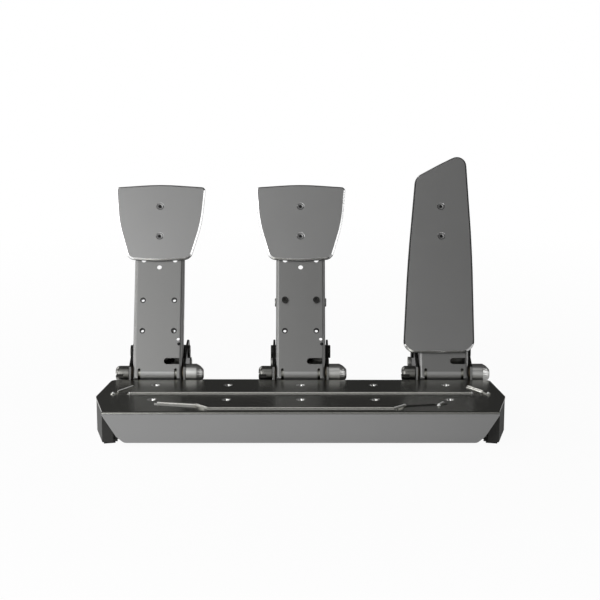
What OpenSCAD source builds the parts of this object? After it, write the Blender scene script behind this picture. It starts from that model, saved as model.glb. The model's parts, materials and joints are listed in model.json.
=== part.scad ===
// Three-pedal set for driving games: clutch, brake and throttle on a folded steel base.
// X runs across the pedals, +Y away from the driver, Z up from the floor.
// The origin is on the floor, in the middle of the whole set.

/* [Base] */
// Width of the deck at its widest
deck_w = 376; // [352:1:400]
// Width of the deck along its front bend
deck_front_w = 356; // [336:1:370]
// Width of the deck along its back edge
deck_back_w = 357; // [344:1:370]
// Depth of the deck, from the front panel to its back edge
deck_d = 101; // [92:1:112]
// How far behind the front panel the deck is widest
deck_wide_at = 47; // [35:1:60]
// Height of the deck's top face above the floor
deck_h = 33.5; // [30:0.5:40]
// Thickness of the folded steel sheet
sheet_t = 2; // [1.5:0.1:2.5]
// Outer radius of the bend at the deck's front edge
bend_r = 3; // [2.8:0.1:5]
// Gap between the front panel and the floor
panel_gap = 4.5; // [2:0.5:8]
// Width of the front panel along its lower edge
panel_low_w = 317; // [280:1:322]
// Width of the front panel above its cut corners
panel_cut_w = 331; // [326:1:334]
// Height of the cut at the panel's lower corners
panel_cut_h = 6; // [3:0.5:9]
// Height of the stiffening flange along the deck's back edge
back_flange_h = 12; // [6:1:18]
// Width of a raised bead on the deck
bead_w = 3; // [1.5:0.1:4]
// Height of a raised bead above the deck
bead_h = 1; // [0.3:0.1:1.5]
// Thickness of the base tray
tray_t = 3; // [2:0.5:4]
// Width of the tray's back edge
tray_back_w = 330; // [322:1:336]
// Width of the side skirts' inward flanges
flange_w = 14; // [12:1:18]
// Length of a skirt's return behind the front panel
return_w = 10; // [6:1:14]
// Gap between the front panel and a skirt's return
return_gap = 9; // [6:1:14]
// Thickness of the rubber strips under the skirts
strip_t = 1.5; // [1:0.5:3]
// Diameter of a rubber foot
foot_d = 22; // [14:1:26]
// Distance between the two rows of deck screws
screw_row_gap = 46; // [36:1:50]
// Distance from the deck's back edge to its back row of screws
screw_row_back = 17; // [12:1:24]
// Length of a deck screw
deck_screw_l = 14; // [10:0.5:18]
// Head diameter of a deck screw
deck_screw_head = 8.8; // [8:0.1:10]
// Shank diameter of a deck screw
deck_screw_d = 4.8; // [4:0.1:5]
// Outer diameter of the standoffs under the deck
standoff_d = 10; // [9:0.5:14]
// Diameter of the holes that bolt the base to a rig
rig_hole_d = 6.6; // [5.5:0.1:8.5]
// Distance between the two rig holes of a pair
rig_hole_gap = 32; // [24:1:34]

/* [Pedals] */
// Distance between neighbouring pedals
pedal_pitch = 136; // [128:1:140]
// Distance from the deck's back edge back to the pedals' pivot
pivot_gap = 12; // [12:1:17]
// Height of the pivot above the floor
pivot_h = 36; // [34:0.5:44]
// Backward lean of the arms at rest, in degrees
lean = 28.5; // [24:0.5:32]
// Outer width of an arm
arm_w = 47; // [44:0.5:50]
// Sheet thickness of an arm
arm_t = 2.5; // [2:0.1:3]
// Length of an arm above the pivot
arm_len = 176; // [172:1:178]
// Distance from the pivot's axis to the arm's front face
arm_face = 9.2; // [8.8:0.1:9.8]
// Radius of the arm's flanges round the pivot
arm_round = 10.6; // [10.3:0.1:10.8]
// Depth of an arm's flanges behind the pivot's axis at the top
arm_top_back = 2; // [1:0.5:6]
// Diameter of the small holes through an arm
arm_hole_d = 4.6; // [3:0.1:6]
// Spacing of the small holes, along the arm and across it
hole_grid = 30; // [26:0.5:32]
// Height of the lowest pair of holes above the pivot
hole_start = 40; // [38:1:44]
// Thickness of the foot plates
plate_t = 4; // [3:0.5:6]
// Width of the chamfer round a foot plate's face
plate_edge = 1.5; // [0.5:0.1:2]
// Width of the clutch and brake plates at the top
pad_top_w = 88.5; // [76:0.5:96]
// Width of the clutch and brake plates at the bottom
pad_low_w = 61; // [54:1:68]
// Height of the clutch and brake plates' bottom edge above the pivot
pad_low_s = 110; // [106:1:114]
// Height of the clutch and brake plates' top edge above the pivot
pad_top_s = 183; // [178:1:188]
// Height of the throttle plate's bottom edge above the pivot
gas_low_s = 18.2; // [14.5:0.1:22]
// Height of the throttle plate's tip above the pivot
gas_tip_s = 220; // [208:1:226]
// Drop of the throttle plate's slanted top edge, from its tip to its left corner
gas_slant = 27; // [20:0.5:34]
// Reach of the throttle plate to the left at its bottom
gas_low_left = 39; // [34:0.5:42]
// Reach of the throttle plate to the right at its bottom
gas_low_right = 29.5; // [26:0.5:34]
// Reach of the throttle plate to the left at its top
gas_top_left = 24.5; // [23:0.5:32]
// Reach of the throttle plate to the right at its top
gas_top_right = 25.5; // [22:0.5:30]
// Reach of the rounding at the clutch and brake plates' corners
pad_round = 7.5; // [5:0.5:12]
// Reach of the rounding at the throttle plate's lower corners
gas_low_round = 16; // [10:0.5:20]
// Reach of the rounding at the throttle plate's upper left corner
gas_top_round = 8; // [6:0.5:12]
// Reach of the rounding at the throttle plate's tip
gas_tip_round = 22; // [12:0.5:26]
// Height of the lower plate screw above the pivot
plate_screw_s = 133; // [128:1:136]
// Head diameter of a plate screw
plate_screw_head = 6.8; // [6:0.1:8]
// Shank diameter of a plate screw
plate_screw_d = 3.8; // [3:0.1:4]

/* [Brackets and pivots] */
// Gap between an arm and the bracket wall beside it
side_gap = 1.2; // [1:0.1:2]
// Thickness of a bracket's sheet
bracket_t = 2; // [1.5:0.5:4]
// Distance from the pivot back to the end of a bracket
bracket_back = 77; // [76:1:84]
// Height of a bracket's top edge above the pivot
bracket_top = 18.5; // [17:0.5:24]
// Radius of a bracket's walls round the pivot
bracket_round = 11; // [10:0.1:11.3]
// Diameter of the pivot axle, and of the other pins
axle_d = 8; // [7:0.1:8.4]
// Outer diameter of a pivot bush
bush_d = 11; // [10.6:0.1:12]
// Running clearance round an axle, pin or rod
run_gap = 0.05; // [0.03:0.01:0.08]
// Fit clearance round a fixed pin or screw
fit_gap = 0.02; // [0.01:0.01:0.04]
// Side clearance between faces that turn past each other
face_gap = 0.3; // [0.2:0.05:0.4]
// Head diameter of a pivot axle
axle_head_d = 15.2; // [12:0.1:16]
// Length of a pivot axle's head
axle_head_l = 13; // [9:0.5:14]
// Width of the slot across a pivot axle's head
head_slot_w = 3.4; // [2.5:0.1:4]
// Depth of the slot across a pivot axle's head
head_slot_l = 7.5; // [5:0.5:8]
// Outer diameter of the sleeve round the axle inside an arm
sleeve_d = 12.4; // [11:0.1:12.8]
// Outer diameter of a sensor cap
cap_d = 19.2; // [18:0.1:21]
// Length of a sensor cap
cap_l = 17; // [15:0.1:19]
// Length of the sensor cap's tapered end
cap_taper = 6.5; // [5:0.1:7]
// Wall thickness of a sensor cap
cap_wall = 2.4; // [2:0.1:2.6]
// Distance of the stop bolts behind the pivot
stop_y = 37; // [36:0.5:39]
// Height of the stop bolts above the pivot
stop_z = 11.6; // [10:0.1:12]
// Outer diameter of a stop rubber
stop_d = 13.2; // [11:0.1:13.4]
// Length of a stop rubber
stop_l = 8; // [6:0.5:10]

/* [Struts] */
// Distance of the struts' lower pin behind the pivot
strut_y = 71; // [68:0.5:71]
// Height of the struts' lower pin relative to the pivot
strut_z = -10; // [-12:0.5:-8]
// Height of the clutch and throttle strut pins above the pivot, along the arm
pin_s = 52; // [50:0.5:54]
// Distance of the clutch and throttle strut pins behind the pivot's axis
pin_back = 4; // [3.5:0.1:4.5]
// Height of the brake strut pin above the pivot, along the arm
brake_pin_s = 71; // [69:0.5:73]
// Distance of the brake strut pin behind the pivot's axis
brake_pin_back = 3.5; // [3:0.1:3.8]
// Outer diameter of a strut's lower eye
eye_d = 18; // [16:0.5:19]
// Outer diameter of a rod's upper eye
rod_eye_d = 15; // [13.5:0.1:15.4]
// Width of a strut's eyes
eye_w = 16; // [12:0.5:18]
// Clearance round the upper pin
open_gap = 0.55; // [0.5:0.05:0.7]
// Diameter of a strut's rod
rod_d = 8; // [6:0.1:9]
// Outer diameter of a strut's guide tube
guide_d = 13; // [12.5:0.1:14]
// Diameter of a spring's seats
seat_d = 26; // [25:0.5:28]
// Diameter of the brake's seats
brake_seat_d = 30; // [28:0.5:32]
// Thickness of a strut's lower seat
seat_t = 3; // [2:0.5:3.5]
// Height of the lower seat's face above the lower pin
seat_z = 16; // [15.5:0.5:18]
// Thickness of a preload nut
nut_t = 5; // [4:0.5:6]
// Distance between a preload nut and the eye above it
nut_gap = 5; // [4.5:0.5:6]
// Wire diameter of a spring
wire_d = 2.4; // [1.8:0.1:2.6]
// Diameter of a spring, between the centres of its wire
coil_d = 20; // [18.5:0.1:21]
// Turns of a spring
coil_turns = 5.5; // [4:0.5:5.5]
// Thickness of the brake's load cell
cell_t = 9; // [7:0.5:11]
// Outer diameter of the brake's elastomer
rubber_d = 28; // [24:0.5:29]

/* [Controller] */
// Width of the controller case
case_w = 70; // [60:1:72]
// Depth of the controller case
case_d = 46; // [40:1:48]
// Height of the controller case without its lid
case_h = 10.4; // [10.2:0.1:11.5]
// Wall thickness of the controller case
case_wall = 2; // [1.5:0.1:2.5]
// Thickness of the controller lid
lid_t = 1.5; // [1:0.1:3]
// Width of the output socket
socket_w = 13; // [11.5:0.5:16]
// Height of the output socket
socket_h = 7.6; // [7:0.1:7.6]
// Depth of the output socket
socket_d = 14; // [10:0.5:16]
// Diameter of a sensor lead
lead_d = 3; // [2:0.1:3.5]

/* [Hidden] */
$fn = 48;
eps = 0.01;

// Pedals are numbered 0 for the clutch, 1 for the brake and 2 for the throttle
function is_brake(i) = i == 1;
function pedal_x(i) = (i - 1) * pedal_pitch;

// Levels above the floor
tray_z = strip_t + sheet_t;
tray_top = tray_z + tray_t;
deck_under = deck_h - sheet_t;

// Outline of the throttle plate, whose tip reaches furthest back
gas_outline = plate_outline(
    [
        [-gas_low_left, gas_low_s],
        [gas_low_right, gas_low_s],
        [gas_top_right, gas_tip_s],
        [-gas_top_left, gas_tip_s - gas_slant]
    ],
    [gas_low_round, gas_low_round, gas_tip_round, gas_top_round],
    [0.3, 1.6, 0.3, 1.2]
);
tip_s = max([for (p = gas_outline) p[1]]);

// Places along Y
pivot_setback = deck_d + pivot_gap;
tip_reach = tip_s * sin(lean) - arm_face * cos(lean);
set_d = pivot_setback + max(tip_reach, bracket_back + 2);
front_y = -set_d / 2;
pivot_y = front_y + pivot_setback;
deck_back_y = front_y + deck_d;
tray_back_y = pivot_y + bracket_back + 2;

// Bracket and pivot
inner_half = arm_w / 2 + side_gap;
outer_half = inner_half + bracket_t;
bush_flange_d = bush_d + 4;
bush_nose = 3;
axle_end = outer_half + bush_nose + 2;
magnet_d = 6;
magnet_t = 2.5;
board_t = 1.5;
cap_bore = cap_d - 2 * cap_wall;
cap_floor = outer_half + cap_l - cap_taper + 2.4;
stop_head_d = 12.6;
stop_head_t = 2.2;
stop_shank_d = 5.8;
cable_hole_y = 20;
cable_hole_z = 8;
cable_hole_d = 11;

// Strut geometry at rest
function arm_pin_s(i) = is_brake(i) ? brake_pin_s : pin_s;
function arm_pin_back(i) = is_brake(i) ? brake_pin_back : pin_back;
function pin_dy(i) = arm_pin_s(i) * sin(lean) + arm_pin_back(i) * cos(lean) - strut_y;
function pin_dz(i) = arm_pin_s(i) * cos(lean) - arm_pin_back(i) * sin(lean) - strut_z;
function strut_len(i) = norm([pin_dy(i), pin_dz(i)]);
function strut_tilt(i) = atan2(pin_dy(i), pin_dz(i));
function nut_low(i) = strut_len(i) - rod_eye_d / 2 - nut_gap - nut_t;
function stroke(i) = is_brake(i) ? 8.8 : 15.4;
function guide_top(i) = nut_low(i) - stroke(i) - 0.8;
function seat_of(i) = is_brake(i) ? brake_seat_d : seat_d;
rod_tip_gap = 1;
bore_floor = axle_d / 2 + 6;
function rod_tip(i) = bore_floor + rod_tip_gap + stroke(i) - 0.4;

// Screws and bolts
screw_rows = [deck_back_y - screw_row_back, deck_back_y - screw_row_back - screw_row_gap];
screw_columns = [for (k = [-2:2]) k * pedal_pitch / 2];
plate_screws = [plate_screw_s, plate_screw_s + hole_grid];
bracket_bolt_d = 6;
bracket_bolt_head = 11;
bracket_bolt_h = 3;
bracket_bolt_x = 16;
bracket_bolt_ys = [3, bracket_back - 10];
clevis_bolt_d = arm_hole_d - 2 * fit_gap;
clevis_bolt_head = 6.2;
clevis_bolt_h = 2.6;
socket_depth = 1.5;

// Controller, beside the clutch's bracket
case_gap = 1;
case_x = pedal_x(0) + outer_half + case_gap + case_w / 2;
case_y = deck_back_y + 7 + case_d / 2;
board_z = tray_top + case_wall + 1.2;
socket_wall = 1.2;

// General functions
function unit(v) = v / norm(v);
function turn90(v) = [-v[1], v[0]];
function mid(a, b) = (a + b) / 2;
function reversed(list) = [for (k = [len(list) - 1:-1:0]) list[k]];
function flipped(list) = [for (p = reversed(list)) [-p[0], p[1]]];
function mirrored_outline(half) = concat(half, flipped(half));

// Arc that rounds the corner b between a and c to radius r
function corner(a, b, c, r) =
    r <= 0 ? [b] :
    let (
        u = unit(a - b),
        v = unit(c - b),
        half = acos(u * v) / 2,
        centre = b + unit(u + v) * r / sin(half),
        p = b + u * r / tan(half) - centre,
        q = b + v * r / tan(half) - centre,
        from = atan2(p[1], p[0]),
        raw = atan2(q[1], q[0]) - from,
        sweep = raw > 180 ? raw - 360 : raw < -180 ? raw + 360 : raw,
        n = max(2, ceil(abs(sweep) / 15))
    )
    [for (k = [0:n]) centre + r * [cos(from + sweep * k / n), sin(from + sweep * k / n)]];

// Outline through the points [x, y, r], each corner rounded to its r
function rounded(pts) = [
    for (k = [0:len(pts) - 1])
        let (
            a = pts[(k + len(pts) - 1) % len(pts)],
            b = pts[k],
            c = pts[(k + 1) % len(pts)]
        )
        each corner([a[0], a[1]], [b[0], b[1]], [c[0], c[1]], b[2])
];

// Open line moved sideways by d, with mitred corners
function side_step(line, d) = [
    for (k = [0:len(line) - 1])
        let (
            before = k > 0 ? unit(line[k] - line[k - 1]) : unit(line[1] - line[0]),
            after = k < len(line) - 1 ? unit(line[k + 1] - line[k]) : before,
            n1 = turn90(before),
            n2 = turn90(after)
        )
        line[k] + d * (n1 + n2) / (1 + n1 * n2)
];

// Smooth closed curve that its control points pull outwards
function smooth(pts, steps = 4) = [
    for (k = [0:len(pts) - 1])
        let (
            b = pts[k],
            a = mid(pts[(k + len(pts) - 1) % len(pts)], b),
            c = mid(b, pts[(k + 1) % len(pts)])
        )
        for (j = [0:steps - 1])
            let (u = j / steps)
            (1 - u) * (1 - u) * a + 2 * u * (1 - u) * b + u * u * c
];

// Control points of one plate corner, and of one bowed edge
function plate_corner(a, b, c, reach) =
    let (u = unit(a - b), v = unit(c - b))
    [b + reach * u, b + 0.45 * reach * u, b + 0.45 * reach * v, b + reach * v];
function bowed_edge(a, b, bow) = mid(a, b) - bow * turn90(unit(b - a)) / 0.75;

// Plate outline from its corners, the reach of each rounding and the bow of each edge
function plate_outline(c, reach, bow) = smooth([
    for (k = [0:3])
        let (n = (k + 1) % 4, p = (k + 3) % 4)
        each concat(plate_corner(c[p], c[k], c[n], reach[k]), [bowed_edge(c[k], c[n], bow[k])])
]);

pad_outline = plate_outline(
    [
        [-pad_low_w / 2, pad_low_s],
        [pad_low_w / 2, pad_low_s],
        [pad_top_w / 2, pad_top_s],
        [-pad_top_w / 2, pad_top_s]
    ],
    [pad_round + 1, pad_round + 1, pad_round - 1, pad_round - 1],
    [1.3, 2.6, 2.2, 2.6]
);

// Tube along a line of points; each ring is turned to face its reference direction
function tube_rings(pts, refs, r, sides) = [
    for (k = [0:len(pts) - 1])
        let (
            before = k > 0 ? unit(pts[k] - pts[k - 1]) : unit(pts[1] - pts[0]),
            after = k < len(pts) - 1 ? unit(pts[k + 1] - pts[k]) : before,
            along = unit(before + after),
            side = unit(cross(along, refs[k])),
            up = cross(side, along)
        )
        for (j = [0:sides - 1])
            pts[k] + r * (side * cos(j * 360 / sides) + up * sin(j * 360 / sides))
];
function tube_faces(count, sides) = concat(
    [
        for (k = [0:count - 2], j = [0:sides - 1])
            let (a = k * sides + j, b = k * sides + (j + 1) % sides)
            each [[a, a + sides, b], [b, a + sides, b + sides]]
    ],
    [for (j = [1:sides - 2]) [0, j, j + 1]],
    [
        for (j = [1:sides - 2])
            let (last = (count - 1) * sides)
            [last, last + j + 1, last + j]
    ]
);

module tube(pts, refs, r, sides) {
    polyhedron(tube_rings(pts, refs, r, sides), tube_faces(len(pts), sides), convexity = 10);
}

// Spring: a straight lead-in at each end, square to its seat, and a helix between them
rings_a_turn = 8;
coil_low = seat_z + face_gap;
function coil_high(i) = nut_low(i) - face_gap;
function helix_point(i, k) =
    let (
        n = coil_turns * rings_a_turn,
        a = 360 * k / rings_a_turn,
        low = coil_low + 1.5 * wire_d,
        high = coil_high(i) - 1.5 * wire_d
    )
    [coil_d / 2 * cos(a), coil_d / 2 * sin(a), low + (high - low) * k / n];
function coil_points(i) =
    let (
        n = coil_turns * rings_a_turn,
        first = helix_point(i, 0),
        last = helix_point(i, n)
    )
    concat(
        [[first[0], first[1], coil_low]],
        [for (k = [0:n]) helix_point(i, k)],
        [[last[0], last[1], coil_high(i)]]
    );
function coil_refs(pts) = [for (p = pts) [p[0], p[1], 0]];

// Least gap between points of the spring that lie more than half a turn apart
function least_gap(pts) = min([
    for (a = [0:len(pts) - 2], b = [a + 5:1:len(pts) - 1]) norm(pts[a] - pts[b])
]) - wire_d;
echo(spring_gap = least_gap(coil_points(0)));

// Placing: on a pedal's pivot, on its arm and on its strut
module at_pivot(i) {
    translate([pedal_x(i), pivot_y, pivot_h]) children();
}
module on_arm(i) {
    at_pivot(i) rotate([-lean, 0, 0]) children();
}
module on_strut(i) {
    at_pivot(i) translate([0, strut_y, strut_z]) rotate([-strut_tilt(i), 0, 0]) children();
}

// Shapes along X and along the arm's front
module rod_x(d, from, to) {
    translate([from, 0, 0]) rotate([0, 90, 0]) cylinder(d = d, h = to - from);
}
module taper_x(d1, d2, from, to) {
    translate([from, 0, 0]) rotate([0, 90, 0]) cylinder(d1 = d1, d2 = d2, h = to - from);
}
module profile_x(from, to) {
    translate([from, 0, 0]) rotate([90, 0, 90]) linear_extrude(to - from) children();
}
module web_hole(d, x, s) {
    translate([x, 0, s]) rotate([90, 0, 0]) cylinder(d = d, h = arm_face + plate_t + 1);
}
module hex_pit(width, depth) {
    cylinder(d = width / cos(30), h = depth, $fn = 6);
}

// Countersunk screw, its top face at z = 0, pointing down
module flat_screw(head, shank, length, key) {
    difference() {
        union() {
            translate([0, 0, -(head - shank) / 2])
                cylinder(d1 = shank, d2 = head, h = (head - shank) / 2);
            translate([0, 0, -length]) cylinder(d = shank, h = length - eps);
        }
        translate([0, 0, -socket_depth]) hex_pit(key, socket_depth + eps);
    }
}
module flat_screw_hole(head, shank, depth) {
    cone = (head - shank) / 2;
    translate([0, 0, -cone]) cylinder(d1 = shank + 2 * fit_gap, d2 = head + 0.4, h = cone + eps);
    translate([0, 0, -depth]) cylinder(d = shank + 2 * fit_gap, h = depth);
}

// Base: deck, skirts and tray
deck_half = [
    [deck_front_w / 2, front_y + bend_r, 0],
    [deck_w / 2, front_y + deck_wide_at, 9],
    [deck_back_w / 2, deck_back_y, 6]
];
deck_outline = rounded(concat(deck_half, [for (p = reversed(deck_half)) [-p[0], p[1], p[2]]]));
panel_top = deck_h - bend_r;
panel_half = [
    [panel_low_w / 2, panel_gap, 6],
    [panel_cut_w / 2, panel_gap + panel_cut_h, 4],
    [deck_front_w / 2, panel_top, 0]
];
panel_outline = rounded(concat(panel_half, [for (p = reversed(panel_half)) [-p[0], p[1], p[2]]]));

// Beads stamped into the deck, as [from, to] in the deck's plane
bead_back_y = front_y + deck_wide_at + 8;
bead_front_y = front_y + bend_r + 5.5;
bead_back_x = deck_back_w / 2 - 21;
bead_front_x = deck_front_w / 2 - 92;
bead_lines = [
    [[-bead_back_x, bead_back_y], [bead_back_x, bead_back_y]],
    for (side = [-1, 1]) each [
        [[side * (bead_back_x - 1), bead_back_y + 21], [side * (bead_back_x + 15.5), bead_back_y]],
        [[0, bead_front_y], [side * bead_front_x, bead_front_y]],
        [[side * bead_front_x, bead_front_y], [side * (bead_front_x + 10), bead_front_y + 10]],
        [[side * (bead_front_x + 10), bead_front_y + 10], [side * (bead_front_x + 45), bead_front_y + 17]]
    ]
];

back_flange_in = 12;
module bead(from, to) {
    run = to - from;
    translate([from[0], from[1], deck_h - eps])
        rotate([0, 0, atan2(run[1], run[0])])
            translate([-bead_w / 2, -bead_w / 2, 0])
                cube([norm(run) + bead_w, bead_w, bead_h + eps]);
}

module at_deck_screws() {
    for (x = screw_columns, y = screw_rows)
        translate([x, y, 0]) children();
}

module heel_deck() {
    color("#22231f") difference() {
        union() {
            translate([0, 0, deck_under]) linear_extrude(sheet_t) polygon(deck_outline);
            translate([0, front_y + sheet_t, 0])
                rotate([90, 0, 0]) linear_extrude(sheet_t) polygon(panel_outline);
            translate([0, front_y + bend_r, panel_top]) difference() {
                rod_x(2 * bend_r, -deck_front_w / 2, deck_front_w / 2);
                rod_x(2 * (bend_r - sheet_t), -deck_w, deck_w);
                translate([-deck_w, 0, -bend_r - 1]) cube([2 * deck_w, bend_r + 1, 2 * bend_r + 2]);
                translate([-deck_w, -bend_r - 1, -bend_r - 1]) cube([2 * deck_w, bend_r + 2, bend_r + 1]);
            }
            translate([back_flange_in - deck_back_w / 2, deck_back_y - sheet_t, deck_h - back_flange_h])
                cube([deck_back_w - 2 * back_flange_in, sheet_t, back_flange_h - sheet_t / 2]);
            for (line = bead_lines) bead(line[0], line[1]);
        }
        at_deck_screws() translate([0, 0, deck_h])
            flat_screw_hole(deck_screw_head, deck_screw_d, sheet_t + 1);
    }
}

// Skirt's outer line, from the end of its return to the deck's back edge
skirt_inset = 0.5;
skirt_front_y = front_y + sheet_t + return_gap;
skirt_front_x = deck_front_w / 2 + 1;
skirt_line = [
    [skirt_front_x - return_w, skirt_front_y],
    [skirt_front_x, skirt_front_y],
    [deck_w / 2 - skirt_inset, front_y + deck_wide_at],
    [deck_back_w / 2 - skirt_inset, deck_back_y - sheet_t]
];
skirt_side = [skirt_line[1], skirt_line[2], skirt_line[3]];

module skirt_shape() {
    translate([0, 0, strip_t]) linear_extrude(deck_under - strip_t)
        polygon(concat(skirt_line, reversed(side_step(skirt_line, sheet_t))));
    for (z = [strip_t, deck_under - sheet_t])
        translate([0, 0, z]) linear_extrude(sheet_t)
            polygon(concat(skirt_side, reversed(side_step(skirt_side, flange_w))));
}

function skirt_screw_spot(u) =
    let (line = side_step(skirt_side, flange_w / 2 + 1))
    u < 1 ? line[0] + u * (line[1] - line[0]) : line[1] + (u - 1) * (line[2] - line[1]);
skirt_screw_spots = [for (u = [0.4, 1.15, 1.75]) skirt_screw_spot(u)];
skirt_screw_head = 7;
skirt_screw_d = 3.8;

module at_skirt_screws() {
    for (p = skirt_screw_spots, side = [-1, 1])
        translate([side * p[0], p[1], 0]) children();
}
module skirt(side) {
    color("#2a2b28") difference() {
        mirror([side < 0 ? 1 : 0, 0, 0]) skirt_shape();
        at_skirt_screws() translate([0, 0, strip_t - 1])
            cylinder(d = skirt_screw_d + 2 * fit_gap, h = sheet_t + 2);
    }
}
module left_skirt() { skirt(-1); }
module right_skirt() { skirt(1); }

tray_side = side_step(skirt_side, sheet_t + 0.6);
tray_half = [
    [tray_side[0][0] - 4, skirt_front_y + sheet_t + 1.5, 6],
    [tray_side[1][0], tray_side[1][1], 10],
    [tray_side[2][0], tray_side[2][1], 6],
    [tray_back_w / 2, tray_back_y, 12]
];
foot_in = 36;
foot_front = 30;
foot_back = 3;
foot_spots = [
    for (k = [-1:1], y = [front_y + foot_front, tray_back_y - foot_d / 2 - foot_back])
        [k * (pedal_pitch - foot_in), y]
];
rig_hole_back = 12;
rig_spots = [
    for (side = [-1, 1], d = [-rig_hole_gap / 2, rig_hole_gap / 2])
        [side * pedal_pitch / 2 + d, tray_back_y - rig_hole_back]
];

module base_tray() {
    color("#191a18") difference() {
        translate([0, 0, tray_z]) linear_extrude(tray_t)
            polygon(rounded(concat(tray_half, [for (p = reversed(tray_half)) [-p[0], p[1], p[2]]])));
        at_skirt_screws() translate([0, 0, tray_top])
            flat_screw_hole(skirt_screw_head, skirt_screw_d, tray_t + 1);
        at_bracket_bolts() cylinder(d = bracket_bolt_d + 2 * fit_gap, h = tray_top + 1);
        for (p = foot_spots) translate([p[0], p[1], 0]) cylinder(d = foot_stem_d, h = tray_top + 1);
        for (p = rig_spots) translate([p[0], p[1], 0]) cylinder(d = rig_hole_d, h = tray_top + 1);
    }
}

module deck_screws() {
    color("#a9aaa6") at_deck_screws() translate([0, 0, deck_h])
        flat_screw(deck_screw_head, deck_screw_d, deck_screw_l, 3);
}
standoff_floor = 6;
module deck_standoffs() {
    color("#6d6e6a") at_deck_screws() translate([0, 0, tray_top]) difference() {
        cylinder(d = standoff_d, h = deck_under - tray_top);
        translate([0, 0, standoff_floor]) cylinder(d = deck_screw_d + 2 * fit_gap, h = deck_under);
    }
}
module skirt_screws() {
    color("#3a3b38") at_skirt_screws() translate([0, 0, tray_top])
        flat_screw(skirt_screw_head, skirt_screw_d, tray_t + sheet_t, 2.5);
}
module skirt_strips() {
    color("#141413") for (side = [0, 1])
        mirror([side, 0, 0]) linear_extrude(strip_t)
            polygon(concat(side_step(skirt_side, 1.5), reversed(side_step(skirt_side, flange_w - 2))));
}

foot_stem_d = 6;
module rubber_feet() {
    color("#141413") for (p = foot_spots) translate([p[0], p[1], 0]) {
        cylinder(d = foot_d, h = tray_z);
        cylinder(d = foot_stem_d - 2 * fit_gap, h = tray_top - 0.5);
    }
}

// Brackets and what is fixed to them
top_front = [stop_y - 4, bracket_top];
tangent = atan2(top_front[1], top_front[0]) + acos(bracket_round / norm(top_front));
floor_z = tray_top - pivot_h;
wall_outline = rounded([
    [-bracket_round, floor_z, 0],
    [-bracket_round, 0, 0],
    [-bracket_round * cos(40), bracket_round * sin(40), 0],
    [bracket_round * cos(tangent), bracket_round * sin(tangent), 0],
    [top_front[0], top_front[1], 8],
    [strut_y - 12, bracket_top, 12],
    [bracket_back, strut_z + 10, 8],
    [bracket_back, floor_z, 0]
]);

module at_bracket_bolts() {
    for (i = [0:2], side = [-1, 1], y = bracket_bolt_ys)
        translate([pedal_x(i) + side * bracket_bolt_x, pivot_y + y, 0]) children();
}

module bracket(i) {
    color("#2e2f2c") difference() {
        at_pivot(i) difference() {
            union() {
                for (x = [-outer_half, inner_half]) {
                    profile_x(x, x + bracket_t) polygon(wall_outline);
                    rod_x(2 * bracket_round, x, x + bracket_t);
                }
                translate([-outer_half, -bracket_round, floor_z])
                    cube([2 * outer_half, bracket_round + bracket_back, bracket_t]);
            }
            rod_x(bush_d + 2 * fit_gap, -outer_half - 1, outer_half + 1);
            translate([0, stop_y, stop_z])
                rod_x(stop_shank_d + 2 * fit_gap, -outer_half - 1, outer_half + 1);
            translate([0, strut_y, strut_z])
                rod_x(axle_d + 2 * fit_gap, -outer_half - 1, outer_half + 1);
            translate([0, cable_hole_y, floor_z + cable_hole_z])
                rod_x(cable_hole_d, -outer_half - 1, outer_half + 1);
        }
        at_bracket_bolts() cylinder(d = bracket_bolt_d + 2 * fit_gap, h = tray_top + bracket_t + 1);
    }
}
module clutch_bracket() { bracket(0); }
module brake_bracket() { bracket(1); }
module throttle_bracket() { bracket(2); }

module bracket_bolts() {
    color("#555652") at_bracket_bolts() translate([0, 0, tray_top + bracket_t]) difference() {
        union() {
            cylinder(d = bracket_bolt_head, h = bracket_bolt_h);
            translate([0, 0, -bracket_t - tray_t])
                cylinder(d = bracket_bolt_d, h = bracket_t + tray_t + eps);
        }
        translate([0, 0, bracket_bolt_h - socket_depth]) hex_pit(4, socket_depth + eps);
    }
}

module pivot_bushes() {
    color("#8b7443") for (i = [0:2], side = [0, 1]) at_pivot(i) mirror([1 - side, 0, 0]) difference() {
        union() {
            rod_x(bush_d, inner_half, outer_half + (side == 1 ? bush_nose : 0));
            rod_x(bush_flange_d, arm_w / 2 + face_gap, inner_half);
        }
        rod_x(axle_d + 2 * run_gap, 0, outer_half + bush_nose + 1);
    }
}

module stop_bolts() {
    color("#4b4c49") for (i = [0:2], side = [0, 1])
        at_pivot(i) translate([0, stop_y, stop_z]) mirror([side, 0, 0]) difference() {
            union() {
                rod_x(stop_shank_d, inner_half - stop_l + 1, outer_half + eps);
                rod_x(stop_head_d, outer_half, outer_half + stop_head_t);
            }
            translate([outer_half + stop_head_t - socket_depth, 0, 0]) rotate([0, 90, 0])
                hex_pit(4, socket_depth + eps);
        }
}
module stop_rubbers() {
    color("#161615") for (i = [0:2], side = [0, 1])
        at_pivot(i) translate([0, stop_y, stop_z]) mirror([side, 0, 0]) difference() {
            rod_x(stop_d, inner_half - stop_l, inner_half);
            rod_x(stop_shank_d + 2 * fit_gap, inner_half - stop_l + 1, inner_half + 1);
        }
}

module lower_pins() {
    color("#8f908c") for (i = [0:2]) at_pivot(i) translate([0, strut_y, strut_z]) {
        rod_x(axle_d, -outer_half, outer_half + 1.5);
        rod_x(axle_d + 5, -outer_half - 3, -outer_half);
        rod_x(axle_d + 4, outer_half, outer_half + 1.2);
    }
}
module lower_pin_spacers() {
    color("#6d6e6a") for (i = [0:2], side = [0, 1])
        at_pivot(i) translate([0, strut_y, strut_z]) mirror([side, 0, 0]) difference() {
            rod_x(axle_d + 5, eye_w / 2 + face_gap, inner_half);
            rod_x(axle_d + 2 * fit_gap, 0, inner_half + 1);
        }
}

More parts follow.
